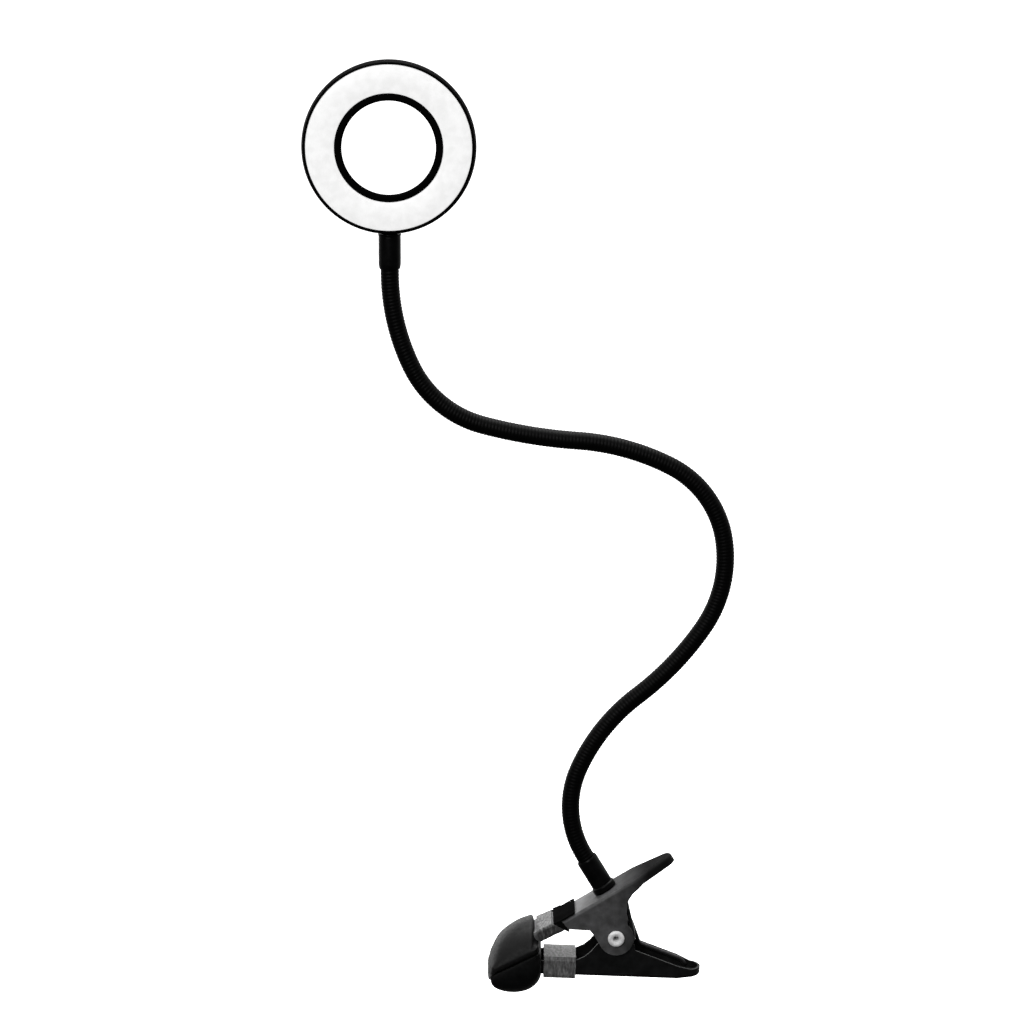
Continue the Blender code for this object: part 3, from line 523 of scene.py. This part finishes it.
# ---------------------------------------------------------------- places

def plane_point(start, slope, flip):
    """A map from (along, depth, across) on a lever's plate to a point."""
    along = Vector((cos(radians(slope)), 0, sin(radians(slope))))
    inward = Vector((sin(radians(slope)), 0, -cos(radians(slope)))) * flip
    origin = Vector((start[0], 0, start[1]))
    return lambda u, v, y: origin + along * u + inward * v + Vector((0, y, 0))


upper_point = plane_point(UPPER_CORNER, UPPER_SLOPE, 1)
lower_point = plane_point(LOWER_START, LOWER_SLOPE, -1)
PIVOT_PLACE = Matrix.Translation((PIVOT[0], 0, PIVOT[1])) @ Matrix.Rotation(pi / 2, 4, "X")
BASE_PLACE = (Matrix.Translation(upper_point(FERRULE_AT, 0, 0))
              @ Matrix.Rotation(radians(-UPPER_SLOPE), 4, "Y"))


def link_pose(turn, s):
    """Placement at distance s along a link that bends by turn degrees; straight past its ends."""
    inside = min(max(s, 0.0), LINK_LENGTH)
    angle = radians(turn) * inside / LINK_LENGTH
    radius = LINK_LENGTH / radians(turn)
    bend = Matrix.Translation((radius * (1 - cos(angle)), 0, radius * sin(angle)))
    return bend @ Matrix.Rotation(angle, 4, "Y") @ Matrix.Translation((0, 0, s - inside))


LINK_PLACES = [BASE_PLACE @ Matrix.Translation((0, 0, BASE_STUB))]
for link_turn in LINK_TURNS[:-1]:
    LINK_PLACES.append(LINK_PLACES[-1] @ link_pose(link_turn, LINK_LENGTH))
HEAD_CENTER = (LINK_PLACES[-1] @ Matrix.Translation((0, 0, HEAD_STUB + RING_DROP))).translation


def neck_place(s):
    """Placement at distance s along the gooseneck from the first link's start."""
    link = min(max(int(s // LINK_LENGTH), 0), len(LINK_TURNS) - 1)
    return LINK_PLACES[link] @ link_pose(LINK_TURNS[link], s - link * LINK_LENGTH)


# ---------------------------------------------------------------- gooseneck

RIB_PITCH = 1.8
RIB_DEPTH = 0.15
RIB_STEP = 0.3
HOSE_SIDES = 28
HOSE_BORE = 4.02


def hose_ring(s):
    """One ring of the hose, ribbed by its spiral winding."""
    place = neck_place(s)
    ring = []
    for i in range(HOSE_SIDES):
        turn = 2 * pi * i / HOSE_SIDES
        wave = 0.5 + 0.5 * cos(2 * pi * s / RIB_PITCH - turn)
        radius = NECK_RADIUS - RIB_DEPTH * wave ** 1.6
        ring.append(place @ Vector((radius * cos(turn), radius * sin(turn), 0)))
    return ring


def hose_length(index, start, end):
    """One length of hose, from the middle of one link to the middle of the next."""
    count = round((end - start) / RIB_STEP)
    outer = [hose_ring(start + (end - start) * i / count) for i in range(count + 1)]
    inner = [circle(neck_place(end - (end - start) * i / 24), HOSE_BORE, HOSE_SIDES) for i in range(25)]
    covers = [f"gooseneck_cover_{index}"] + (["gooseneck_cover_10"] if index == 9 else [])
    piece = finished(f"hose_{index}", skin(outer + inner, loop=True), "hose", None,
                     covers, sharp=60)
    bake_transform(piece)
    return piece


def build_hose():
    middles = [3.6 - BASE_STUB]
    middles += [LINK_LENGTH * (k + 0.5) for k in range(1, 9)]
    middles.append(9 * LINK_LENGTH + HEAD_STUB)
    for index in range(1, 10):
        hose_length(index, middles[index - 1], middles[index])


def build_ferrules():
    """The ferrules at both ends of the hose, from (height, radius) sections."""
    bore = NECK_RADIUS + GAP
    section = [
        (-6.3, 0.01), (-6.3, 3.0), (0.3, 3.0), (0.3, 6.4), (3.2, 6.4), (3.7, 5.9), (3.8, 5.5),
        (4.3, 5.7), (19.2, 5.7), (20.0, 5.4), (20.0, bore), (3.3, bore), (3.3, 0.01),
    ]
    finished("base_collar", turned(BASE_PLACE, fillet(section, 0.3, 3), FERRULE_SIDES), "ferrule",
             "clamp", ["base_ferrule"])
    section = [
        (-38.2, 0.01), (-38.2, 2.4), (-45.3, 2.4), (-45.3, 6.0), (-46.2, 5.95), (-46.6, 5.7),
        (-47.1, 5.8), (-61.2, 5.8), (-63.6, 5.35), (-63.6, bore), (-48.7, bore), (-48.7, 0.01),
    ]
    place = Matrix.Translation(HEAD_CENTER)
    finished("head_collar", turned(place, fillet(section, 0.3, 3), FERRULE_SIDES), "ferrule",
             "head", ["head_ferrule"])


# ---------------------------------------------------------------- ring head

HEAD_SIDES = 168


def ring_piece(name, section, look, replaces, reach=0.35, sides=HEAD_SIDES):
    """An annular piece from a closed (radius, y) section about the head's axis."""
    rings = []
    for i in range(sides):
        turn = 2 * pi * i / sides
        rings.append([HEAD_CENTER + Vector((r * cos(turn), y, r * sin(turn)))
                      for r, y in fillet(section, reach, 3)])
    return finished(name, skin(rings, loop=True), look, "head", replaces)


def head_spot(radius, angle, y):
    """A placement on the head: local Z towards the front, local X along the radius."""
    turn = radians(angle)
    spot = HEAD_CENTER + Vector((radius * cos(turn), y, radius * sin(turn)))
    return Matrix.Translation(spot) @ Matrix.Rotation(-turn, 4, "Y") @ Matrix.Rotation(pi / 2, 4, "X")


def stadium(width, height, steps=10):
    half = (width - height) / 2
    return arc((half, 0), height / 2, -90, 90, steps) + arc((-half, 0), height / 2, 90, 270, steps)


def build_shell():
    """Rear shell: sides that narrow to the back, a stepped seam, screw wells and the inlet slot."""
    lip = FRONT + 1.8
    floor = BACK - 1.6
    hole_back = HOLE_RADIUS + HOLE_FLARE
    section = [
        (HOLE_RADIUS, lip), (HOLE_RADIUS + 1.3, lip), (hole_back + 1.3, floor),
        (RING_RADIUS - 3.0, floor),
        (RING_RADIUS - 1.6, BELLY), (RING_RADIUS - 1.5, lip), (RING_RADIUS - 0.5, lip),
        (RING_RADIUS - 0.12, BELLY - 1.4), (RING_RADIUS, BELLY), (RING_RADIUS - 0.28, BELLY + 1.7),
        (RING_RADIUS - 0.58, BELLY + 1.9), (RING_RADIUS - 0.66, BELLY + 2.4),
        (RING_RADIUS - 0.42, BELLY + 2.6), (RING_RADIUS - 1.4, floor), (RING_RADIUS - 1.7, BACK - 0.6),
        (RING_RADIUS - 2.8, BACK), (RING_RADIUS - 5.2, BACK), (RING_RADIUS - 5.5, BACK - 0.3),
        (RING_RADIUS - 6.1, BACK - 0.3), (RING_RADIUS - 6.4, BACK), (hole_back + 1.3, BACK),
        (hole_back + 0.3, BACK - 0.4), (hole_back, BACK - 1.2),
    ]
    shell = ring_piece("shell", section, "plastic", ["rear_shell"], reach=0.5)
    spot = head_spot(INLET_CIRCLE, INLET_ANGLE, BACK) @ Matrix.Rotation(pi / 2, 4, "Z")
    slot = prism(stadium(9.8, 4.0), lambda a, b, c: spot @ Vector((a, b, c)), -2, 3)
    cut(shell, slot)
    stem = Matrix.Translation(HEAD_CENTER + Vector((0, 0, -RING_RADIUS)))
    boss = fillet([(0, 0.1), (0, 4.6), (1.9, 4.6), (1.9, 0.1)], 0.4, 3)
    cut(shell, turned(stem, boss, 48), "UNION")
    cut(shell, skin([circle(stem @ Matrix.Translation((0, 0, h)), 2.7, 32) for h in (-3, 5)]))
    wells = [head_spot(WELL_CIRCLE, angle, BACK) for angle in WELL_ANGLES]
    for well in wells:
        cut(shell, skin([circle(well @ Matrix.Translation((0, 0, h)), r, 24)
                         for h, r in ((-1, 1.7), (0.9, 1.6))]))
    shell.data.set_sharp_from_angle(angle=radians(38))
    return shell


def build_front():
    """The front's black rings and the opal diffuser between them."""
    lip = FRONT + 0.8
    seat = FRONT + 1.5
    rim_in = RING_RADIUS - RIM_WIDTH
    ring_piece("rim", [
        (rim_in, FRONT + 0.1), (rim_in + 0.4, FRONT), (RING_RADIUS - 1.4, FRONT),
        (RING_RADIUS - 0.8, FRONT + 0.55), (RING_RADIUS - 0.55, seat), (RING_RADIUS - 1.45, seat),
        (RING_RADIUS - 1.45, lip), (rim_in, lip),
    ], "plastic", ["outer_rim"])
    trim_out = HOLE_RADIUS + TRIM_WIDTH
    ring_piece("trim", [
        (HOLE_RADIUS, seat), (HOLE_RADIUS, FRONT + 0.7), (HOLE_RADIUS + 0.7, FRONT),
        (trim_out - 0.4, FRONT), (trim_out, FRONT + 0.15), (trim_out, lip), (HOLE_RADIUS + 1.3, lip),
        (HOLE_RADIUS + 1.3, seat),
    ], "plastic", ["inner_trim"])
    low = HOLE_RADIUS + 1.9
    high = RING_RADIUS - 1.8
    flange = lip + 0.3
    inner = trim_out + 0.3
    outer = rim_in - 0.3
    dome = []
    steps = 12
    for i in range(steps + 1):
        share = i / steps
        dome.append((inner + (outer - inner) * share, FRONT + 0.2 - 0.7 * sin(pi * share) ** 0.8))
    under = [(outer - 1.0, flange + 1.2), ((inner + outer) / 2, flange - 0.3),
             (inner + 1.0, flange + 1.2)]
    section = [(low, flange + 1.2), (low, flange), (inner, flange)] + dome
    section += [(outer, flange), (high, flange), (high, flange + 1.2)] + under
    ring_piece("opal_ring", section, "opal", ["diffuser"], reach=0.15)


# ---------------------------------------------------------------- clamp

def softened_lever(name, node, body, outward, keep_clear, look="enamel"):
    """A lever from its CAD shape with pressed bends along its plate and softened edges."""
    bm = cad_bmesh(node)
    bm.normal_update()
    bends = []
    for edge in bm.edges:
        if len(edge.link_faces) != 2 or edge.calc_face_angle_signed(0) <= radians(40):
            continue
        facing = sorted(abs(f.normal.dot(outward)) for f in edge.link_faces)
        towards = max(f.normal.dot(outward) for f in edge.link_faces)
        middle = (edge.verts[0].co + edge.verts[1].co) / 2
        if facing[0] < 0.4 and towards > 0.93 and not keep_clear(middle):
            bends.append(edge)
    bmesh.ops.bevel(bm, geom=bends, offset=1.7, offset_type="OFFSET", segments=5, profile=0.5,
                    affect="EDGES", clamp_overlap=False, miter_outer="ARC")
    piece = finished(name, bm, look, body, [node], sharp=30,
                     edge_look=look.replace("enamel", "edge"))
    return soften(piece, 0.22, 2, 32)


def faced(piece, outward, look):
    """Gives the faces that look outwards a look of their own; the levers use it to paint a reflection on
    the plate's top as a lighter enamel.
    """
    piece.data.materials.append(LOOKS[look].material)
    slot = len(piece.data.materials) - 1
    for polygon in piece.data.polygons:
        if polygon.normal.dot(outward) > 0.9:
            polygon.material_index = slot


def near_hole(point):
    """True at the ferrule's hole and at the arm's front end inside the boot."""
    return (point - BASE_PLACE.translation).length < 5 or point.x < -4.5


def build_levers():
    """Both levers; the upper one's plate top has a look of its own, a lighter copy of the enamel that
    paints in a reflection.
    """
    up = Vector((-sin(radians(UPPER_SLOPE)), 0, cos(radians(UPPER_SLOPE))))
    down = Vector((sin(radians(LOWER_SLOPE)), 0, -cos(radians(LOWER_SLOPE))))
    faced(softened_lever("upper_handle", "upper_lever", "clamp", up, near_hole), up, "enamel_top_painted_reflection")
    # The lower lever takes the darker copies of the enamel: painted shade.
    softened_lever("lower_handle", "lower_lever", "lower_jaw", down, lambda p: p.x < 4, "enamel_low")


def build_rivet():
    """Chrome eyelet, its bright reflection painted as a flat white: rolled heads with a dished bore."""
    seat = UPPER_HALF_WIDTH + GAP
    half = [(seat, 3.0), (seat, 4.35), (seat + 0.35, 4.4)]
    half += [(seat + 0.5 + 1.15 * sin(a), 2.95 + 1.4 * cos(a))
             for a in [radians(18 * i) for i in range(6)]]
    half += [(seat + 1.5, 2.1), (seat + 1.1, 1.62), (seat + 0.2, 1.45)]
    section = half + [(-h, r) for h, r in reversed(half)]
    finished("eyelet", turned(PIVOT_PLACE, section, EYELET_SIDES), "chrome", "clamp",
             ["pivot_rivet"], sharp=50)


def build_spring():
    """Torsion spring round the pivot, a leg reaching under each handle."""
    radius = SPRING_RADIUS
    half = SPRING_HALF_WIDTH
    knee = (65.8, 3.2)
    reach = upper_point(35.0, SHEET + 1.4, 0)

    def leaves(end, side):
        dx = end[0] - PIVOT[0]
        dz = end[1] - PIVOT[1]
        return atan2(dz, dx) + side * acos(radius / hypot(dx, dz))

    first = leaves(knee, 1)
    last = leaves((reach.x, reach.z), -1)
    while last < first:
        last += 2 * pi
    last += 2 * pi * SPRING_TURNS
    steps = int((last - first) / radians(9))
    lower_leg = [(90.6, -8.7), (88.4, -5.6), knee,
                 (PIVOT[0] + radius * cos(first), PIVOT[1] + radius * sin(first))]
    points = [(x, half, z) for x, z in fillet(lower_leg, 1.6, 5, closed=False)[:-1]]
    for i in range(steps + 1):
        share = i / steps
        angle = first + (last - first) * share
        points.append((PIVOT[0] + radius * cos(angle), half * (1 - 2 * share),
                       PIVOT[1] + radius * sin(angle)))
    points.append((reach.x + 0.6, -half, reach.z - 2.0))
    points.append((reach.x + 0.1, -half + 0.5, reach.z - 0.4))
    points.append((reach.x, -half + 1.8, reach.z))
    points.append((reach.x, -half + 4.6, reach.z))
    piece = finished("coil_spring", wire(points, SPRING_WIRE_RADIUS, 14), "spring", None,
                     ["torsion_spring"], sharp=50)
    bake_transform(piece)


# ---------------------------------------------------------------- boots and wraps

UPPER_BOOT_TOP = (
    (-15.0, -5.4), (-13.9, -1.0), (-12.3, 3.2), (-10.2, 7.7), (-7.3, 11.4), (-3.0, 14.9),
    (1.0, 17.4), (5.0, 19.0), (8.8, 19.5), (10.2, 14.2),
)
LOWER_BOOT_BOTTOM = (
    (-14.2, -9.2), (-13.4, -13.2), (-11.0, -16.6), (-6.2, -19.0), (0.0, -19.8), (6.0, -18.6),
    (10.4, -15.6), (12.9, -11.4), (13.6, -6.0),
)


def grip_height(x):
    return x * tan(radians(GRIP_SLOPE))


def build_boot(name, node, outline, side, body, crown_power, crown_edge):
    """A crowned rubber cap: domed outside, rolled side edges, ribs across the gripping face."""
    middle = sum(BOOT_ENDS) / 2
    air = side * 0.15 / cos(radians(GRIP_SLOPE))
    corner = 2.2
    ends = [(BOOT_ENDS[0], grip_height(BOOT_ENDS[0]) + side * 2.0)]
    ends += [tuple(p) for p in outline]
    ends += [(BOOT_ENDS[1], grip_height(BOOT_ENDS[1]) + side * 2.0)]
    top = smooth_path(ends, 6)
    face = []
    ribs = 60
    for i in range(ribs + 1):
        x = BOOT_ENDS[1] - 0.9 - (BOOT_ENDS[1] - BOOT_ENDS[0] - 1.8) * i / ribs
        groove = 0.35 * max(0.0, sin(2 * pi * i / 6)) if 3 < i < ribs - 3 else 0.0
        face.append((x, side * groove))
    rings = []
    stations = 56
    for k in range(stations + 1):
        y = -BOOT_HALF_WIDTH * cos(pi * k / stations)
        share = min(1.0, abs(y) / BOOT_HALF_WIDTH)
        crown = (1 - share ** crown_power) ** crown_edge
        over = max(0.0, abs(y) - (BOOT_HALF_WIDTH - corner))
        inset = corner - sqrt(max(0.0, corner ** 2 - over ** 2))
        narrow = 0.88 + 0.12 * crown
        ring = []
        for x, z in top:
            x = middle + (x - middle) * narrow
            x -= inset * 0.8 * (x - middle) / 14.0
            base = grip_height(x) + air
            edge = base + side * (BOOT_EDGE - 0.6 * inset)
            if (z - edge) * side < 0:
                ring.append((x, y, base + (z - base) * (0.55 + 0.45 * crown)))
            else:
                ring.append((x, y, edge + (z - edge) * crown))
        for x, lift in face:
            x = middle + (x - middle) * narrow
            x -= inset * 0.8 * (x - middle) / 14.0
            ring.append((x, y, grip_height(x) + air + lift + side * 0.25 * inset))
        rings.append(ring)
    return finished(name, skin(rings), "rubber", body, [node], sharp=24)


def build_boots():
    """Both boots, each with a pocket for its lever's arm."""
    reach = UPPER_ARM_REACH
    rise = reach * tan(radians(ARM_LEVELLING))
    pocket = [(-reach, -rise - GAP), (0, -GAP), (0, 4.9), (-reach, 4.9 - rise)]
    width = UPPER_HALF_WIDTH + GAP
    upper = build_boot("upper_boot", "upper_jaw_boot", UPPER_BOOT_TOP, 1, "clamp",
                       CROWN_POWER, UPPER_CROWN_EDGE)
    cut(upper, prism(pocket, upper_point, -width, width))
    reach = LOWER_ARM_REACH
    pocket = [(-reach, -GAP), (-10, -GAP), (-10, 8.6), (-25.6, LOWER_ARM_HEIGHT), (-27.2, 7.9),
              (-reach, 7.0)]
    width = LOWER_HALF_WIDTH + GAP
    lower = build_boot("lower_boot", "lower_jaw_boot", LOWER_BOOT_BOTTOM, -1, "lower_jaw",
                       CROWN_POWER, LOWER_CROWN_EDGE)
    cut(lower, prism(pocket, lower_point, -width, width))


WRAP_GIRTH = 58.0    # the length round a wrap that its crinkles are laid out on
FILM = 0.55          # from a wrap's outer outline to its inner one


def rounded_loop(corners, reach, count):
    """Points evenly spaced round a rounded polygon of (v, y) corners."""
    path = fillet(corners, reach, 5)
    closed = path + [path[0]]
    lengths = [0.0]
    for a, b in zip(closed, closed[1:]):
        lengths.append(lengths[-1] + hypot(b[0] - a[0], b[1] - a[1]))
    out = []
    step = 0
    for i in range(count):
        want = lengths[-1] * i / count
        while lengths[step + 1] < want:
            step += 1
        part = (want - lengths[step]) / max(lengths[step + 1] - lengths[step], 1e-9)
        a = closed[step]
        b = closed[step + 1]
        out.append((a[0] + (b[0] - a[0]) * part, a[1] + (b[1] - a[1]) * part))
    return out


def crinkle(u, around, seed, amount):
    """Relief of shrunk film: uneven ridges round the arm crossed by finer creases."""
    ridges = noise.noise(Vector((u * 0.62, around * 0.06, seed))) + 0.6 * noise.noise(
        Vector((u * 1.5, around * 0.12, seed + 7)))
    creases = noise.noise(Vector((u * 0.45, around * 0.5, seed + 3)))
    sharp = 1 - min(1.0, abs(noise.noise(Vector((u * 0.3, around * 0.35, seed + 11)))) * 5)
    return amount * (0.55 * ridges + 0.35 * creases + 0.4 * sharp)


def build_wrap(name, node, body, point_at, stations, section_at, look, seed, rows=44, count=150):
    """A sleeve of crinkled film round an arm.

    section_at(share) gives (top v, low v, half width, top shift, low shift), share from 0 to 1.
    """
    start, end = stations
    outer = []
    inner = []
    for k in range(rows + 1):
        share = k / rows
        v_top, v_low, half, shift_top, shift_low = section_at(share)
        fade = min(1.0, 6 * min(share, 1 - share) + 0.3)
        loop_out = rounded_loop([(v_top, -half), (v_top, half), (v_low, half), (v_low, -half)],
                                1.5, count)
        loop_in = rounded_loop([(v_top + FILM, -half + FILM), (v_top + FILM, half - FILM),
                                (v_low - FILM, half - FILM), (v_low - FILM, -half + FILM)],
                               1.0, count)
        center = (v_top + v_low) / 2
        ring = []
        ring_in = []
        for i, ((v, y), (vi, yi)) in enumerate(zip(loop_out, loop_in)):
            part = (v - v_top) / (v_low - v_top)
            u = start + (end - start) * share + shift_top + (shift_low - shift_top) * part
            around = WRAP_GIRTH * i / count
            around = min(around, WRAP_GIRTH - around) + 0.001 * i
            push = -0.28 + crinkle(u, around, seed, 0.42) * fade
            push = min(push, 0.02)
            out = Vector((v - center, y))
            size = out.length
            out = out * (1 + push / size)
            ring.append(point_at(u, center + out.x, out.y))
            ring_in.append(point_at(u, vi, yi))
        outer.append(ring)
        inner.append(ring_in)
    rings = outer + list(reversed(inner))
    return finished(name, skin(rings, loop=True), look, body, [node], sharp=75)


def build_wraps():
    """The wraps round both arms; the upper one leans with its arm."""
    lean = tan(radians(ARM_LEVELLING))
    reach = GAP + WRAP_THICKNESS
    half = UPPER_HALF_WIDTH + reach

    def upper_section(share):
        u = UPPER_WRAP_ENDS[0] + 8.8 * share   # the CAD sleeve is a little longer than the film
        return (u * lean - reach, ARM_HEIGHT + u * lean + reach, half, 0.0,
                -1.5 * (1 - share) + 4.25 * share)

    build_wrap("upper_wrap", "upper_jaw_sleeve", "clamp", upper_point, UPPER_WRAP_ENDS,
               upper_section, "wrap_up_painted_shade", 1.0)
    half_low = LOWER_HALF_WIDTH + reach

    def lower_section(_):
        return (LOWER_ARM_HEIGHT + reach, -reach, half_low, 0.0, 0.0)

    build_wrap("lower_wrap", "lower_jaw_sleeve", "lower_jaw", lower_point, LOWER_WRAP_ENDS,
               lower_section, "wrap_low_painted_light", 5.0, rows=60)


def build_band():
    """Black band and tab behind the upper wrap, with softened edges."""
    bm = cad_bmesh("upper_arm_band")
    piece = finished("arm_band", bm, "band", "clamp", ["upper_arm_band"])
    soften(piece, 0.3, 3, 30, edge_look=False)


# ---------------------------------------------------------------- carried-over pieces

CARRIED = {
    "gooseneck_core": "zinc", "base_washer": "zinc", "base_nut": "zinc", "stem_nut": "zinc",
    "board_screw": "zinc", "inlet_shell": "zinc", "inlet_tongue": "epoxy", "inlet_board": "mask",
    "led_board": "mask", "led_strip_daylight": "daylight", "led_strip_warm": "warm",
    "current_resistor": "epoxy", "driver_chip": "epoxy", "supply_wire_red": "red",
    "supply_wire_black": "black_wire",
}


def dress_carried():
    """Looks for the CAD nodes that no detailed piece stands for."""
    for name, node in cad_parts.items():
        for start, look in CARRIED.items():
            if name.startswith(start):
                for i in range(len(node.material_slots)):
                    node.material_slots[i].link = "OBJECT"
                    node.material_slots[i].material = LOOKS[look].material


# ---------------------------------------------------------------- studio

def build_floor():
    """Plain pale floor, well below the clamp."""
    bm = bmesh.new()
    bmesh.ops.create_grid(bm, x_segments=2, y_segments=2, size=30.0)
    bmesh.ops.translate(bm, vec=(0, 0, -0.35), verts=bm.verts)
    mesh = bpy.data.meshes.new("floor")
    bm.to_mesh(mesh)
    bm.free()
    look = Look("floor_white", grey(0.9), 0.9, specular=0.0)
    look.set("Emission Color", (1, 1, 1, 1))
    look.set("Emission Strength", 1.0)
    mesh.materials.append(look.material)
    floor = bpy.data.objects.new("floor", mesh)
    bpy.context.scene.collection.objects.link(floor)
    floor.visible_diffuse = False
    floor.visible_glossy = False


def softbox(name, place, target, size, radiance):
    """A rectangular area light of even radiance aimed at a point, in metres."""
    light = bpy.data.lights.new(name, "AREA")
    light.shape = "RECTANGLE"
    light.size, light.size_y = size
    light.energy = radiance * pi * size[0] * size[1]
    lamp = bpy.data.objects.new(name, light)
    lamp.location = place
    lamp.rotation_euler = (Vector(target) - Vector(place)).to_track_quat("-Z", "Y").to_euler()
    lamp.visible_camera = False
    bpy.context.scene.collection.objects.link(lamp)


def build_lights():
    """A soft surround, bright above and behind and dark below and in front, and three softboxes."""
    world = bpy.data.worlds.new("studio")
    world.use_nodes = True
    tree = world.node_tree
    background = tree.nodes["Background"]
    coords = tree.nodes.new("ShaderNodeTexCoord")
    lean = tree.nodes.new("ShaderNodeMapping")
    lean.inputs["Rotation"].default_value = (radians(45), 0, 0)
    parts = tree.nodes.new("ShaderNodeSeparateXYZ")
    heights = tree.nodes.new("ShaderNodeMapRange")
    heights.inputs["From Min"].default_value = -1.0
    heights.inputs["From Max"].default_value = 1.0
    ramp = tree.nodes.new("ShaderNodeValToRGB")
    stops = [(0.0, 0.02), (0.2, 0.05), (0.45, 0.12), (0.75, 0.9), (1.0, 0.9)]
    while len(ramp.color_ramp.elements) < len(stops):
        ramp.color_ramp.elements.new(0.5)
    for element, (position, value) in zip(ramp.color_ramp.elements, stops):
        element.position = position
        element.color = (value, value, value, 1)
    tree.links.new(coords.outputs["Generated"], lean.inputs["Vector"])
    tree.links.new(lean.outputs["Vector"], parts.inputs["Vector"])
    tree.links.new(parts.outputs["Z"], heights.inputs["Value"])
    tree.links.new(heights.outputs["Result"], ramp.inputs["Fac"])
    tree.links.new(ramp.outputs["Color"], background.inputs["Color"])
    bpy.context.scene.world = world
    softbox("overhead", (-0.1, 0.5, 1.9), (0.03, 0.0, 0.15), (1.8, 1.4), 6.0)
    softbox("back", (-0.6, 2.2, 0.45), (0.03, 0.0, 0.1), (2.6, 1.1), 1.5)
    softbox("front", (-0.7, -2.6, 1.5), (0.0, 0.0, 0.2), (1.4, 1.2), 8.0)


def build_camera():
    camera = bpy.data.cameras.new("camera")
    camera.lens = 151.275
    camera.sensor_width = 36.0
    camera.clip_start = 0.05
    camera.clip_end = 100.0
    holder = bpy.data.objects.new("camera", camera)
    holder.location = (-0.00223, -2.2, 0.70292)
    holder.rotation_euler = (radians(90 - 11.871), 0, 0)
    bpy.context.scene.collection.objects.link(holder)
    bpy.context.scene.camera = holder


build_camera()
build_lights()
build_floor()
build_hose()
build_ferrules()
build_shell()
build_front()
build_levers()
build_rivet()
build_spring()
build_boots()
build_wraps()
build_band()
dress_carried()
bpy.context.scene.view_settings.view_transform = "Standard"
